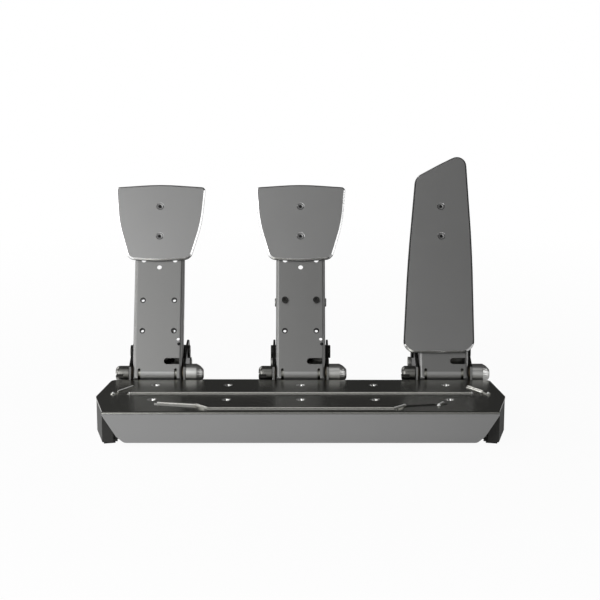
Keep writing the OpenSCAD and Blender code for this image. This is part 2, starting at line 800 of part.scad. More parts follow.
// Arms
web_in = arm_face - arm_t;
relief_x = 16;
relief_w = 2.6;
relief_top = 2;
slot_s = 10.3;
slot_h = 6;
slot_from = 6;
arm_holes = [
    for (s = [hole_start, hole_start + hole_grid, pad_low_s], side = [-1, 1])
        [side * hole_grid / 2, s]
];
arm_section = rounded([
    [-arm_w / 2, arm_round + 1, 0],
    [-arm_w / 2, -arm_face, 3],
    [arm_w / 2, -arm_face, 3],
    [arm_w / 2, arm_round + 1, 0],
    [arm_w / 2 - arm_t, arm_round + 1, 0],
    [arm_w / 2 - arm_t, -web_in, 0.6],
    [-arm_w / 2 + arm_t, -web_in, 0.6],
    [-arm_w / 2 + arm_t, arm_round + 1, 0]
]);
arm_side = rounded([
    [-arm_face - 1, 0, 0],
    [arm_round, 0, 0],
    [arm_round, arm_len * 0.42, 30],
    [arm_top_back, arm_len, 6],
    [-arm_face - 1, arm_len, 0]
]);

module arm_shell() {
    intersection() {
        translate([0, 0, -arm_round - 1])
            linear_extrude(arm_len + arm_round + 1) polygon(arm_section);
        union() {
            profile_x(-arm_w, arm_w) polygon(arm_side);
            rod_x(2 * arm_round, -arm_w, arm_w);
        }
    }
}

// Rolled lower edge of the web, round the axle
module arm_roll() {
    intersection() {
        difference() {
            rod_x(2 * arm_face, -relief_x, relief_x);
            rod_x(2 * web_in, -relief_x - 1, relief_x + 1);
        }
        translate([-arm_w, -arm_face - 1, -arm_face - 1]) cube([2 * arm_w, arm_face + 1, arm_face + 1 + eps]);
    }
}

module arm(i) {
    color("#858683") on_arm(i) difference() {
        union() {
            difference() {
                arm_shell();
                translate([-relief_x - relief_w, -arm_face - 1, -arm_round - 2])
                    cube([2 * (relief_x + relief_w), arm_t + 1 + eps, arm_round + 2]);
            }
            arm_roll();
        }
        for (x = [-relief_x - relief_w, relief_x]) {
            translate([x, -arm_face - 1, -eps]) cube([relief_w, arm_t + 1 + eps, relief_top + eps]);
            translate([0, eps - web_in, 0])
                web_hole(relief_w, x + relief_w / 2, relief_top);
        }
        for (p = arm_holes) web_hole(arm_hole_d, p[0], p[1]);
        web_hole(arm_hole_d, 0, pad_low_s - 7);
        web_hole(3.2, arm_w / 2 - 4.3, hole_start - 8);
        web_hole(slot_h, slot_from + slot_h / 2, slot_s);
        translate([slot_from + slot_h / 2, -arm_face - 1, slot_s - slot_h / 2])
            cube([arm_w / 2 - arm_t - 0.4 - slot_from - slot_h / 2, arm_face, slot_h]);
        for (s = plate_screws) web_hole(plate_screw_d + 2 * fit_gap, 0, s);
        rod_x(axle_d + 2 * fit_gap, -arm_w, arm_w);
        translate([0, arm_pin_back(i), arm_pin_s(i)]) rod_x(axle_d + 2 * fit_gap, -arm_w, arm_w);
    }
}
module clutch_arm() { arm(0); }
module brake_arm() { arm(1); }
module throttle_arm() { arm(2); }

// Foot plates and their screws
module at_plate_screws(i) {
    on_arm(i) for (s = plate_screws)
        translate([0, -arm_face - plate_t, s]) rotate([90, 0, 0]) children();
}
module plate(i, outline) {
    color(is_brake(i) ? "#7a7a7a" : "#8c8c8c") difference() {
        on_arm(i) translate([0, -arm_face, 0]) rotate([90, 0, 0]) hull() {
            linear_extrude(plate_t - plate_edge) polygon(outline);
            linear_extrude(plate_t) offset(delta = -plate_edge) polygon(outline);
        }
        at_plate_screws(i) flat_screw_hole(plate_screw_head, plate_screw_d, plate_t + 1);
    }
}
module clutch_plate() { plate(0, pad_outline); }
module brake_plate() { plate(1, pad_outline); }
module throttle_plate() { plate(2, gas_outline); }

module plate_screw_set(i) {
    color("#595a58") at_plate_screws(i)
        flat_screw(plate_screw_head, plate_screw_d, plate_t + arm_t + 2, 2.5);
}
module clutch_plate_screws() { plate_screw_set(0); }
module brake_plate_screws() { plate_screw_set(1); }
module throttle_plate_screws() { plate_screw_set(2); }

// Pivot axle with its slotted head on the left and its sleeve in the arm, and the magnet on its right end
head_in = outer_half + face_gap;
head_out = head_in + axle_head_l;
sleeve_half = arm_w / 2 - arm_t - face_gap;
module axle(i) {
    color("#9a9b96") at_pivot(i) {
        difference() {
            union() {
                rod_x(axle_d, -head_in - eps, axle_end);
                rod_x(axle_head_d, -head_out + 2.5, -head_in);
                taper_x(axle_head_d - 5, axle_head_d, -head_out, -head_out + 2.5 + eps);
            }
            translate([-head_out - eps, -axle_head_d, -head_slot_w / 2])
                cube([head_slot_l, 2 * axle_head_d, head_slot_w]);
        }
        difference() {
            rod_x(sleeve_d, -sleeve_half, sleeve_half);
            rod_x(axle_d + 2 * fit_gap, -arm_w, arm_w);
        }
    }
}
module clutch_axle() { axle(0); }
module brake_axle() { axle(1); }
module throttle_axle() { axle(2); }

module magnet(i) {
    color("#b9bab8") at_pivot(i) rod_x(magnet_d, axle_end, axle_end + magnet_t);
}
module clutch_magnet() { magnet(0); }
module brake_magnet() { magnet(1); }
module throttle_magnet() { magnet(2); }

module sensor_cap(i) {
    taper_from = outer_half + cap_l - cap_taper;
    color("#a6a7a1") at_pivot(i) difference() {
        union() {
            rod_x(cap_d, outer_half, taper_from);
            taper_x(cap_d, cap_d - 2 * cap_taper * tan(40), taper_from - eps, outer_half + cap_l);
        }
        rod_x(bush_d + 2 * fit_gap, outer_half - 1, outer_half + bush_nose + 0.2);
        rod_x(cap_bore, outer_half + bush_nose + 0.2, cap_floor);
        translate([lead_x, 0, 0]) rotate([180, 0, 0]) cylinder(d = lead_d + 2 * fit_gap, h = cap_d);
    }
}
module clutch_sensor_cap() { sensor_cap(0); }
module brake_sensor_cap() { sensor_cap(1); }
module throttle_sensor_cap() { sensor_cap(2); }

module sensor_boards() {
    color("#2f5d3a") for (i = [0:2]) at_pivot(i)
        rod_x(cap_bore - 2 * run_gap, cap_floor - board_t, cap_floor);
}

// Struts: a body that swings on the lower pin, and a rod that slides in it
module strut_body(i) {
    color("#3c3d3a") on_strut(i) difference() {
        union() {
            rod_x(eye_d, -eye_w / 2, eye_w / 2);
            cylinder(d = 14, h = seat_z);
            translate([0, 0, seat_z - seat_t]) cylinder(d = seat_of(i), h = seat_t);
            cylinder(d = guide_d, h = guide_top(i));
        }
        rod_x(axle_d + 2 * run_gap, -eye_w, eye_w);
        translate([0, 0, bore_floor]) cylinder(d = rod_d + 2 * run_gap, h = guide_top(i));
    }
}
module clutch_strut_body() { strut_body(0); }
module brake_strut_body() { strut_body(1); }
module throttle_strut_body() { strut_body(2); }

module strut_rod(i) {
    color("#a4a5a1") on_strut(i) difference() {
        union() {
            translate([0, 0, rod_tip(i)]) cylinder(d = rod_d, h = strut_len(i) - rod_tip(i));
            translate([0, 0, strut_len(i)]) rod_x(rod_eye_d, -eye_w / 2, eye_w / 2);
        }
        translate([0, 0, strut_len(i)]) rod_x(axle_d + 2 * open_gap, -eye_w, eye_w);
    }
}
module clutch_strut_rod() { strut_rod(0); }
module brake_strut_rod() { strut_rod(1); }
module throttle_strut_rod() { strut_rod(2); }

module preload_nut(i) {
    color("#7b6a4c") on_strut(i) translate([0, 0, nut_low(i)]) difference() {
        cylinder(d = seat_of(i), h = nut_t);
        translate([0, 0, -1]) cylinder(d = rod_d + 2 * fit_gap, h = nut_t + 2);
    }
}
module clutch_preload_nut() { preload_nut(0); }
module brake_preload_nut() { preload_nut(1); }
module throttle_preload_nut() { preload_nut(2); }

module spring(i) {
    pts = coil_points(i);
    color("#b4b5b1") on_strut(i) tube(pts, coil_refs(pts), wire_d / 2, 6);
}
module clutch_spring() { spring(0); }
module throttle_spring() { spring(2); }

module strut_pin(i) {
    half = is_brake(i) ? arm_w / 2 + 1.3 : arm_w / 2;
    color("#6a6b68") on_arm(i) translate([0, arm_pin_back(i), arm_pin_s(i)])
        rod_x(axle_d, -half, half);
}
module clutch_strut_pin() { strut_pin(0); }
module brake_strut_pin() { strut_pin(1); }
module throttle_strut_pin() { strut_pin(2); }

// Brake: clevis inside the arm, load cell and elastomer on the strut
clevis_s = hole_start + hole_grid;
clevis_half = 10;
clevis_back = brake_pin_back + axle_d / 2 + 1.5;
clevis_x = arm_w / 2 - arm_t - fit_gap;
clevis_section = rounded([
    [-clevis_x, clevis_back, 0],
    [-clevis_x, fit_gap - web_in, 1],
    [clevis_x, fit_gap - web_in, 1],
    [clevis_x, clevis_back, 0]
]);
module brake_clevis() {
    color("#50514e") on_arm(1) difference() {
        translate([0, 0, clevis_s - clevis_half]) linear_extrude(2 * clevis_half) polygon(clevis_section);
        translate([-eye_w / 2 - 0.4, brake_pin_back - rod_eye_d / 2 - 0.4, clevis_s - clevis_half - 1])
            cube([eye_w + 0.8, rod_eye_d + clevis_back, 2 * clevis_half + 2]);
        translate([0, brake_pin_back, brake_pin_s]) rod_x(axle_d + 2 * fit_gap, -arm_w, arm_w);
        for (side = [-1, 1]) web_hole(clevis_bolt_d + 2 * fit_gap, side * hole_grid / 2, clevis_s);
    }
}
module brake_clevis_bolts() {
    color("#1d1e1c") on_arm(1) for (side = [-1, 1])
        translate([side * hole_grid / 2, -arm_face, clevis_s]) rotate([90, 0, 0]) difference() {
            union() {
                cylinder(d = clevis_bolt_head, h = clevis_bolt_h);
                translate([0, 0, -arm_face + 1]) cylinder(d = clevis_bolt_d, h = arm_face);
            }
            translate([0, 0, clevis_bolt_h - socket_depth]) hex_pit(3, socket_depth + eps);
        }
}
module brake_load_cell() {
    color("#9d9e99") on_strut(1) translate([0, 0, seat_z]) difference() {
        cylinder(d = brake_seat_d - 1, h = cell_t);
        translate([0, 0, -1]) cylinder(d = guide_d + 0.4, h = cell_t + 2);
    }
}
rubber_rings = 3;
module brake_elastomer() {
    low = seat_z + cell_t + face_gap;
    high = nut_low(1) - face_gap;
    ring = (high - low) / rubber_rings;
    belly = 3;
    color("#5a1f1b") on_strut(1) translate([0, 0, low]) difference() {
        union() {
            cylinder(d = rubber_d - 2 * belly, h = high - low);
            for (k = [0:rubber_rings - 1]) {
                translate([0, 0, k * ring + 0.8])
                    cylinder(d1 = rubber_d - 2 * belly, d2 = rubber_d, h = belly);
                translate([0, 0, k * ring + 0.8 + belly - eps])
                    cylinder(d = rubber_d, h = ring - 1.6 - 2 * belly + 2 * eps);
                translate([0, 0, (k + 1) * ring - 0.8 - belly])
                    cylinder(d1 = rubber_d, d2 = rubber_d - 2 * belly, h = belly);
            }
        }
        translate([0, 0, -1]) cylinder(d = guide_d + 1, h = high);
    }
}

// Controller with its board, lid and output socket
socket_z = tray_top + case_wall + (case_h - case_wall - socket_h) / 2;
case_lip = 3;
lead_hole_z = tray_top + cable_hole_z;
lead_x = outer_half + 6;
module case_box(inset, z, h) {
    translate([case_x - case_w / 2 + inset, case_y - case_d / 2 + inset, z])
        cube([case_w - 2 * inset, case_d - 2 * inset, h]);
}
module controller_case() {
    color("#181917") difference() {
        case_box(0, tray_top, case_h);
        case_box(case_wall, tray_top + case_wall, case_h);
        translate([case_x - socket_w / 2 - fit_gap, case_y, socket_z - fit_gap])
            cube([socket_w + 2 * fit_gap, case_d, socket_h + 2 * fit_gap]);
        for (k = [1, 2]) translate([case_x, lead_y(k), lead_hole_z])
            rod_x(lead_d + 2 * fit_gap, case_w / 2 - case_wall - 1, case_w / 2 + 1);
    }
    color("#181917") for (x = [-1, 1], y = [-1, 1])
        translate([case_x + x * (case_w / 2 - 6), case_y + y * (case_d / 2 - 6), tray_top + case_wall - eps])
            cylinder(d = 5, h = board_z - tray_top - case_wall + eps);
}
module controller_lid() {
    color("#1d1e1c") difference() {
        case_box(0, tray_top + case_h, lid_t);
        translate([pedal_x(0) + lead_x, pivot_y, tray_top])
            cylinder(d = lead_d + 2 * fit_gap, h = 2 * case_h);
    }
}
module controller_board() {
    color("#2f5d3a") difference() {
        case_box(case_wall + 0.6, board_z, board_t);
        translate([case_x - socket_w / 2 - 0.4, case_y + case_d / 2 - socket_d - 0.4, board_z - 1])
            cube([socket_w + 0.8, socket_d + 1, board_t + 2]);
    }
}
module output_socket() {
    y0 = case_y + case_d / 2 - socket_d;
    color("#2b2c29") difference() {
        translate([case_x - socket_w / 2, y0, socket_z]) cube([socket_w, socket_d + 0.4, socket_h]);
        translate([case_x - socket_w / 2 + socket_wall, y0 + 2, socket_z + socket_wall])
            cube([socket_w - 2 * socket_wall, socket_d + 1, socket_h - 2 * socket_wall]);
    }
}

// Leads from the sensor caps to the controller; the route points are chosen by hand
function lead_y(k) = pivot_y + cable_hole_y + (k == 1 ? -2.4 : 2.4);
lead_top = pivot_h - cap_d / 2 + cap_wall - 1.2;
function clutch_route() =
    let (x = pedal_x(0) + lead_x, lid = tray_top + case_h + lid_t)
    [
        [x, pivot_y, lead_top],
        [x, pivot_y, lid + 3],
        [x, pivot_y, lid - 2.5]
    ];
function side_route(i) =
    let (x = pedal_x(i) + lead_x, y = lead_y(i), z = lead_hole_z)
    [
        [x, pivot_y, lead_top],
        [x, pivot_y, lead_top - 3],
        [x, pivot_y + 2, z + 5],
        [x, pivot_y + 6, z + 1],
        [x - 0.5, y - 7, z],
        [x - 2, y - 2.5, z],
        [x - 5.5, y, z],
        [x - 10, y, z],
        [case_x + case_w / 2 - case_wall - 1, y, z]
    ];
module lead(pts) {
    tube(pts, [for (p = pts) [1, 2, -1.5]], lead_d / 2, 8);
}
module sensor_leads() {
    color("#111110") {
        lead(clutch_route());
        for (i = [1, 2]) lead(side_route(i));
    }
}

heel_deck();
left_skirt();
right_skirt();
base_tray();
deck_screws();
deck_standoffs();
skirt_screws();
skirt_strips();
rubber_feet();
clutch_bracket();
brake_bracket();
throttle_bracket();
bracket_bolts();
pivot_bushes();
stop_bolts();
stop_rubbers();
lower_pins();
lower_pin_spacers();
clutch_arm();
brake_arm();
throttle_arm();
clutch_plate();
brake_plate();
throttle_plate();
clutch_plate_screws();
brake_plate_screws();
throttle_plate_screws();
clutch_axle();
brake_axle();
throttle_axle();
clutch_magnet();
brake_magnet();
throttle_magnet();
clutch_sensor_cap();
brake_sensor_cap();
throttle_sensor_cap();
sensor_boards();
clutch_strut_pin();
brake_strut_pin();
throttle_strut_pin();
brake_clevis();
brake_clevis_bolts();
clutch_strut_body();
brake_strut_body();
throttle_strut_body();
clutch_strut_rod();
brake_strut_rod();
throttle_strut_rod();
clutch_preload_nut();
brake_preload_nut();
throttle_preload_nut();
clutch_spring();
throttle_spring();
brake_elastomer();
brake_load_cell();
controller_case();
controller_lid();
controller_board();
output_socket();
sensor_leads();
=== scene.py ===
import json
import math

import bmesh
import bpy
from mathutils import Matrix, Vector


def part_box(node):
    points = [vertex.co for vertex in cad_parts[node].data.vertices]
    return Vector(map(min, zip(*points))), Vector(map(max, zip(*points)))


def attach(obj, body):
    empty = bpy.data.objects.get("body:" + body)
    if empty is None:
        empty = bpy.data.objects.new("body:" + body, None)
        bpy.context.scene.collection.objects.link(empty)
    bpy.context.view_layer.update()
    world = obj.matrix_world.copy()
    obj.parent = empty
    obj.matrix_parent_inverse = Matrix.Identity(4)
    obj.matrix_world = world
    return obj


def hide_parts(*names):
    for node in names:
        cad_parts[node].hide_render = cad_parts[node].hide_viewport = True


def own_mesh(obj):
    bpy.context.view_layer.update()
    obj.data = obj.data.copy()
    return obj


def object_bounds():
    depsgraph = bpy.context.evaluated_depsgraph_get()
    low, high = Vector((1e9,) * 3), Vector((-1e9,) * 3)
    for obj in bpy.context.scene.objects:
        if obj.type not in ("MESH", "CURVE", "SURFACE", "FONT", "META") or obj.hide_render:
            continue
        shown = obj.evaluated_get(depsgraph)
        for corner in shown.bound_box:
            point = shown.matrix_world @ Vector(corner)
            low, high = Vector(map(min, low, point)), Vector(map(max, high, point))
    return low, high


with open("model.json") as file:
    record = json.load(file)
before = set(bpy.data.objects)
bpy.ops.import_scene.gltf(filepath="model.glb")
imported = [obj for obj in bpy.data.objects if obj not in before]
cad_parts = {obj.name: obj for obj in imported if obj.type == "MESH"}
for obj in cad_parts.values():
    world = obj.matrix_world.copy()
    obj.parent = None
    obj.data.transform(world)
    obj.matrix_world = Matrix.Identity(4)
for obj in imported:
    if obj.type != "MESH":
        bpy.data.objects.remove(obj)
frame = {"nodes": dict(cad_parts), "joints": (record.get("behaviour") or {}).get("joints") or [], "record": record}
cadLow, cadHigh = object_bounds()
print("frame loaded")

mm = 0.001
pedals = ("clutch", "brake", "throttle")
joints = {j["name"]: j for j in frame["joints"]}
pivots = {p: Vector(joints[p + "_pivot"]["pos_m"]) for p in pedals}
lowerPins = {p: Vector(joints[p + "_strut_swing"]["pos_m"]) for p in pedals}
strutUps = {p: -Vector(joints[p + "_rod_slide"]["axis"]).normalized() for p in pedals}
bodyOf = {n: b for b, members in frame["record"]["behaviour"]["bodies"].items() for n in members}


# Camera
cameraSet = {
    "lookAt": (-0.00057, 0.02451, 0.1047),
    "pitch": 14.0,
    "distance": 1.7,
    "lens": 107.1,
    "sensor": 36.0,
}


def makeCamera(s):
    data = bpy.data.cameras.new("camera")
    data.lens = s["lens"]
    data.sensor_width = s["sensor"]
    obj = bpy.data.objects.new("camera", data)
    bpy.context.scene.collection.objects.link(obj)
    pitch = math.radians(s["pitch"])
    away = Vector((0, -math.cos(pitch), math.sin(pitch)))
    obj.location = Vector(s["lookAt"]) + s["distance"] * away
    obj.rotation_euler = (math.pi / 2 - pitch, 0, 0)
    bpy.context.scene.camera = obj


makeCamera(cameraSet)
print("camera set")


# Small helpers for node trees
def addNode(tree, kind, **values):
    node = tree.nodes.new(kind)
    for key, value in values.items():
        if hasattr(node, key):
            setattr(node, key, value)
        else:
            node.inputs[key].default_value = value
    return node


def join(tree, source, target):
    tree.links.new(source, target)


def newGroup(name, inputs, outputs):
    tree = bpy.data.node_groups.new(name, "ShaderNodeTree")
    for label, kind, value in inputs:
        socket = tree.interface.new_socket(name=label, in_out="INPUT", socket_type=kind)
        socket.default_value = value
    for label, kind in outputs:
        tree.interface.new_socket(name=label, in_out="OUTPUT", socket_type=kind)
    return tree, tree.nodes.new("NodeGroupInput"), tree.nodes.new("NodeGroupOutput")


# Fine grain of a coat with faint large blotches: colour, roughness and height over the surface
def makeCoatGrain():
    tree, given, out = newGroup(
        "coatGrain",
        [
            ("Colour", "NodeSocketColor", (0.2, 0.2, 0.2, 1)),
            ("Blotch Colour", "NodeSocketColor", (0.2, 0.2, 0.2, 1)),
            ("Grain Scale", "NodeSocketFloat", 2500.0),
            ("Blotch Scale", "NodeSocketFloat", 22.0),
            ("Roughness", "NodeSocketFloat", 0.4),
            ("Roughness Spread", "NodeSocketFloat", 0.06),
        ],
        [("Colour", "NodeSocketColor"), ("Roughness", "NodeSocketFloat"), ("Height", "NodeSocketFloat")],
    )
    place = addNode(tree, "ShaderNodeTexCoord")
    grain = addNode(tree, "ShaderNodeTexNoise", Detail=2.0, Roughness=0.55)
    blotch = addNode(tree, "ShaderNodeTexNoise", Detail=3.0, Roughness=0.6)
    join(tree, place.outputs["Object"], grain.inputs["Vector"])
    join(tree, place.outputs["Object"], blotch.inputs["Vector"])
    join(tree, given.outputs["Grain Scale"], grain.inputs["Scale"])
    join(tree, given.outputs["Blotch Scale"], blotch.inputs["Scale"])
    tint = addNode(tree, "ShaderNodeMix", data_type="RGBA")
    join(tree, blotch.outputs["Fac"], tint.inputs["Factor"])
    join(tree, given.outputs["Colour"], tint.inputs["A"])
    join(tree, given.outputs["Blotch Colour"], tint.inputs["B"])
    centred = addNode(tree, "ShaderNodeMath", operation="SUBTRACT")
    centred.inputs[1].default_value = 0.5
    both = addNode(tree, "ShaderNodeMath", operation="ADD")
    join(tree, grain.outputs["Fac"], both.inputs[0])
    join(tree, blotch.outputs["Fac"], both.inputs[1])
    half = addNode(tree, "ShaderNodeMath", operation="MULTIPLY")
    half.inputs[1].default_value = 0.5
    join(tree, both.outputs[0], half.inputs[0])
    join(tree, half.outputs[0], centred.inputs[0])
    spread = addNode(tree, "ShaderNodeMath", operation="MULTIPLY_ADD")
    join(tree, centred.outputs[0], spread.inputs[0])
    join(tree, given.outputs["Roughness Spread"], spread.inputs[1])
    join(tree, given.outputs["Roughness"], spread.inputs[2])
    join(tree, tint.outputs["Result"], out.inputs["Colour"])
    join(tree, spread.outputs[0], out.inputs["Roughness"])
    join(tree, grain.outputs["Fac"], out.inputs["Height"])
    return tree


coatGrain = makeCoatGrain()


# What every finish has unless it says otherwise
plainFinish = {
    "metallic": 0, "ior": 1.5, "blotch": 1.06, "blotchScale": 22, "grain": 2500, "spread": 0.08,
    "bump": 0.1, "bumpDepth": 0.00002,
}


# A finish: its own Principled shader, fed by the shared grain
def makeFinish(name, given):
    s = {**plainFinish, **given}
    material = bpy.data.materials.new(name)
    material.use_nodes = True
    tree = material.node_tree
    shader = tree.nodes["Principled BSDF"]
    grain = addNode(tree, "ShaderNodeGroup", node_tree=coatGrain)
    grain.inputs["Colour"].default_value = (*s["colour"], 1)
    grain.inputs["Blotch Colour"].default_value = (*[c * s["blotch"] for c in s["colour"]], 1)
    grain.inputs["Grain Scale"].default_value = s["grain"]
    grain.inputs["Blotch Scale"].default_value = s["blotchScale"]
    grain.inputs["Roughness"].default_value = s["roughness"]
    grain.inputs["Roughness Spread"].default_value = s["spread"]
    join(tree, grain.outputs["Colour"], shader.inputs["Base Color"])
    join(tree, grain.outputs["Roughness"], shader.inputs["Roughness"])
    shader.inputs["Metallic"].default_value = s["metallic"]
    shader.inputs["IOR"].default_value = s["ior"]
    bump = addNode(tree, "ShaderNodeBump", Strength=s["bump"], Distance=s["bumpDepth"])
    join(tree, grain.outputs["Height"], bump.inputs["Height"])
    join(tree, bump.outputs["Normal"], shader.inputs["Normal"])
    return material


finishes = {
    "deck_coat": {
        "colour": (0.31, 0.309, 0.288), "metallic": 1.0, "roughness": 0.26, "spread": 0.03, "bump": 0.005,
    },
    "panel_coat": {
        "colour": (0.308, 0.309, 0.308), "metallic": 1.0, "roughness": 0.26, "spread": 0.03, "bump": 0.005,
    },
    # Lighter than the deck coat: a painted sheen on the ridges
    "ridge_coat": {"colour": (0.55, 0.545, 0.51), "metallic": 1.0, "roughness": 0.24, "bump": 0.03},
    "head_steel": {"colour": (0.22, 0.218, 0.205), "metallic": 1.0, "roughness": 0.32},
    "frame_coat": {"colour": (0.044, 0.044, 0.042), "roughness": 0.55, "ior": 1.3},
    "bracket_black": {"colour": (0.008, 0.008, 0.0075), "roughness": 0.36, "ior": 1.4},
    # Painted highlight for the brackets' front edges
    "bare_edge": {"colour": (0.24, 0.24, 0.235), "roughness": 0.5},
    # Black steel, and also painted shade in screw sockets and round screw heads
    "black_steel": {"colour": (0.01, 0.01, 0.01), "roughness": 0.4, "ior": 1.35},
    "screw_bright": {"colour": (0.95, 0.95, 0.93), "metallic": 1.0, "roughness": 0.26},
    # Painted highlight for ridge ends and crests
    "bead_end": {"colour": (0.95, 0.95, 0.93), "metallic": 0.2, "roughness": 0.35},
    "arm_coat": {"colour": (0.262, 0.262, 0.258), "metallic": 0.92, "roughness": 0.42},
    # Painted shade for the arms' sides, painted highlight for their rolled edge
    "arm_side": {"colour": (0.1, 0.1, 0.098), "metallic": 0.92, "roughness": 0.42},
    "arm_roll": {"colour": (0.42, 0.42, 0.415), "metallic": 0.92, "roughness": 0.4},
    "plate_coat": {"colour": (0.34, 0.34, 0.338), "metallic": 0.92, "roughness": 0.4},
    # Darker throttle plate as painted shade, painted highlight on plate rims, painted shade on plate sides
    "throttle_coat": {"colour": (0.315, 0.315, 0.313), "metallic": 0.92, "roughness": 0.4},
    "plate_rim": {"colour": (0.92, 0.92, 0.92), "metallic": 1.0, "roughness": 0.24},
    "plate_side": {"colour": (0.014, 0.014, 0.014), "roughness": 0.4, "ior": 1.35},
    "screw_grey": {"colour": (0.26, 0.26, 0.258), "metallic": 0.92, "roughness": 0.38},
    "cap_metal": {"colour": (0.65, 0.65, 0.635), "metallic": 0.95, "roughness": 0.34},
    "bright_steel": {"colour": (0.42, 0.42, 0.38), "metallic": 1.0, "roughness": 0.3},
    "zinc_steel": {"colour": (0.4, 0.4, 0.38), "metallic": 0.9, "roughness": 0.4},
    "dark_steel": {"colour": (0.03, 0.03, 0.028), "metallic": 0.5, "roughness": 0.36},
    "spring_steel": {"colour": (0.5, 0.5, 0.48), "metallic": 1.0, "roughness": 0.28},
    "bronze": {"colour": (0.16, 0.13, 0.09), "metallic": 0.8, "roughness": 0.45},
    "black_rubber": {"colour": (0.02, 0.02, 0.02), "roughness": 0.7, "bump": 0.3, "grain": 1500},
    "red_rubber": {"colour": (0.2, 0.03, 0.02), "roughness": 0.55, "bump": 0.2, "grain": 1500},
    "case_plastic": {"colour": (0.03, 0.03, 0.03), "roughness": 0.5, "bump": 0.3, "grain": 1200},
    "board_green": {"colour": (0.02, 0.1, 0.04), "roughness": 0.35},
    "lead_sleeve": {"colour": (0.02, 0.02, 0.02), "roughness": 0.55, "bump": 0.2},
}
materials = {name: makeFinish(name.replace("_", " "), s) for name, s in finishes.items()}
slotOf = {part["node"]: part["material_slot"] for part in frame["record"]["subparts"]}
print("finishes made")


# A finished mesh becomes a piece that rides on its body
def addPiece(bm, name, body, slot, replaced=(), sharpAngle=32, finish=()):
    mesh = bpy.data.meshes.new(name)
    bm.to_mesh(mesh)
    bm.free()
    for label in finish or (slot,):
        mesh.materials.append(materials[label])
    for face in mesh.polygons:
        face.use_smooth = True
    mesh.set_sharp_from_angle(angle=math.radians(sharpAngle))
    obj = bpy.data.objects.new(name, mesh)
    bpy.context.scene.collection.objects.link(obj)
    obj.modifiers.new("even shading", "WEIGHTED_NORMAL").keep_sharp = True
    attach(obj, body)
    if replaced:
        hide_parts(*replaced)
    return obj


# Frame whose third axis is up and whose first runs across the set
def upright(origin, up):
    side = Vector((1, 0, 0))
    axes = Matrix((side, up.cross(side), up)).transposed()
    return Matrix.Translation(origin) @ axes.to_4x4()


# Frame whose third axis runs to the set's right
def across(origin):
    axes = Matrix(((0, 1, 0), (0, 0, 1), (1, 0, 0))).transposed()
    return Matrix.Translation(origin) @ axes.to_4x4()


lean = math.radians(28.5)
armUp = Vector((0, math.sin(lean), math.cos(lean)))
armFrames = {p: upright(pivots[p], armUp) for p in pedals}
strutFrames = {p: upright(lowerPins[p], strutUps[p]) for p in pedals}
pivotFrames = {p: across(pivots[p]) for p in pedals}


# Moves a part to its place and joins it to a piece
def addTo(bm, part, place=None):
    if place:
        bmesh.ops.transform(part, matrix=place, verts=part.verts)
    mesh = bpy.data.meshes.new("part")
    part.to_mesh(mesh)
    part.free()
    bm.from_mesh(mesh)
    bpy.data.meshes.remove(mesh)


# Turned shape: pairs of radius and height in mm, spun about the third axis
def turned(outline, place, steps=48, closed=False):
    bm = bmesh.new()
    verts = [bm.verts.new((radius * mm, 0, height * mm)) for radius, height in outline]
    pairs = list(zip(verts, verts[1:]))
    if closed:
        pairs.append((verts[-1], verts[0]))
    edges = [bm.edges.new(pair) for pair in pairs]
    bmesh.ops.spin(
        bm, geom=verts + edges, cent=(0, 0, 0), axis=(0, 0, 1), angle=2 * math.pi, steps=steps, use_merge=True
    )
    bmesh.ops.remove_doubles(bm, verts=bm.verts, dist=0.0000001)
    bmesh.ops.recalc_face_normals(bm, faces=bm.faces)
    bmesh.ops.transform(bm, matrix=place, verts=bm.verts)
    return bm


# Ring with rounded corners as an outline for a turned shape
def ringOutline(inner, outer, low, high, edge):
    return [
        (inner + edge, low), (outer - edge, low), (outer - edge * 0.3, low + edge * 0.3), (outer, low + edge),
        (outer, high - edge), (outer - edge * 0.3, high - edge * 0.3), (outer - edge, high),
        (inner + edge, high), (inner, high - edge), (inner, low + edge),
    ]


# Copy of a CAD node with its outer edges broken, as on the real part
def softCopy(node, width, segments=2, angle=35, merge=0.00006):
    bm = bmesh.new()
    bm.from_mesh(frame["nodes"][node].data)
    bmesh.ops.remove_doubles(bm, verts=bm.verts, dist=merge)
    bmesh.ops.dissolve_limit(bm, angle_limit=math.radians(0.5), verts=bm.verts, edges=bm.edges)
    edges = [
        e for e in bm.edges
        if len(e.link_faces) == 2 and e.is_convex and e.calc_face_angle(0) > math.radians(angle)
    ]
    bmesh.ops.bevel(
        bm, geom=edges, offset=width, segments=segments, profile=0.5, affect="EDGES",
        clamp_overlap=True, material=-1,
    )
    return bm


# Piece name for a CAD node
def camel(node):
    first, *rest = node.split("_")
    return first + "".join(word.capitalize() for word in rest)


def dress(node, width, **how):
    return addPiece(softCopy(node, width * mm), camel(node), bodyOf[node], slotOf[node], [node], **how)


# Brackets, with a painted highlight on their front edges
bracketParts = {"width": 0.3, "frontFrom": 0.6}


def bracket(pedal, s):
    node = pedal + "_bracket"
    bm = softCopy(node, s["width"] * mm)
    for face in bm.faces:
        # Faces turned to the front get the painted highlight
        if -face.normal.y > s["frontFrom"]:
            face.material_index = 1
    addPiece(bm, camel(node), bodyOf[node], slotOf[node], [node], finish=["bracket_black", "bare_edge"])


# Arms, with painted shade on their outer sides and a painted highlight on the rolled lower edge
armParts = {"width": 0.3, "sideFrom": 0.97, "rollBelow": 0.5, "rollHalf": 20}


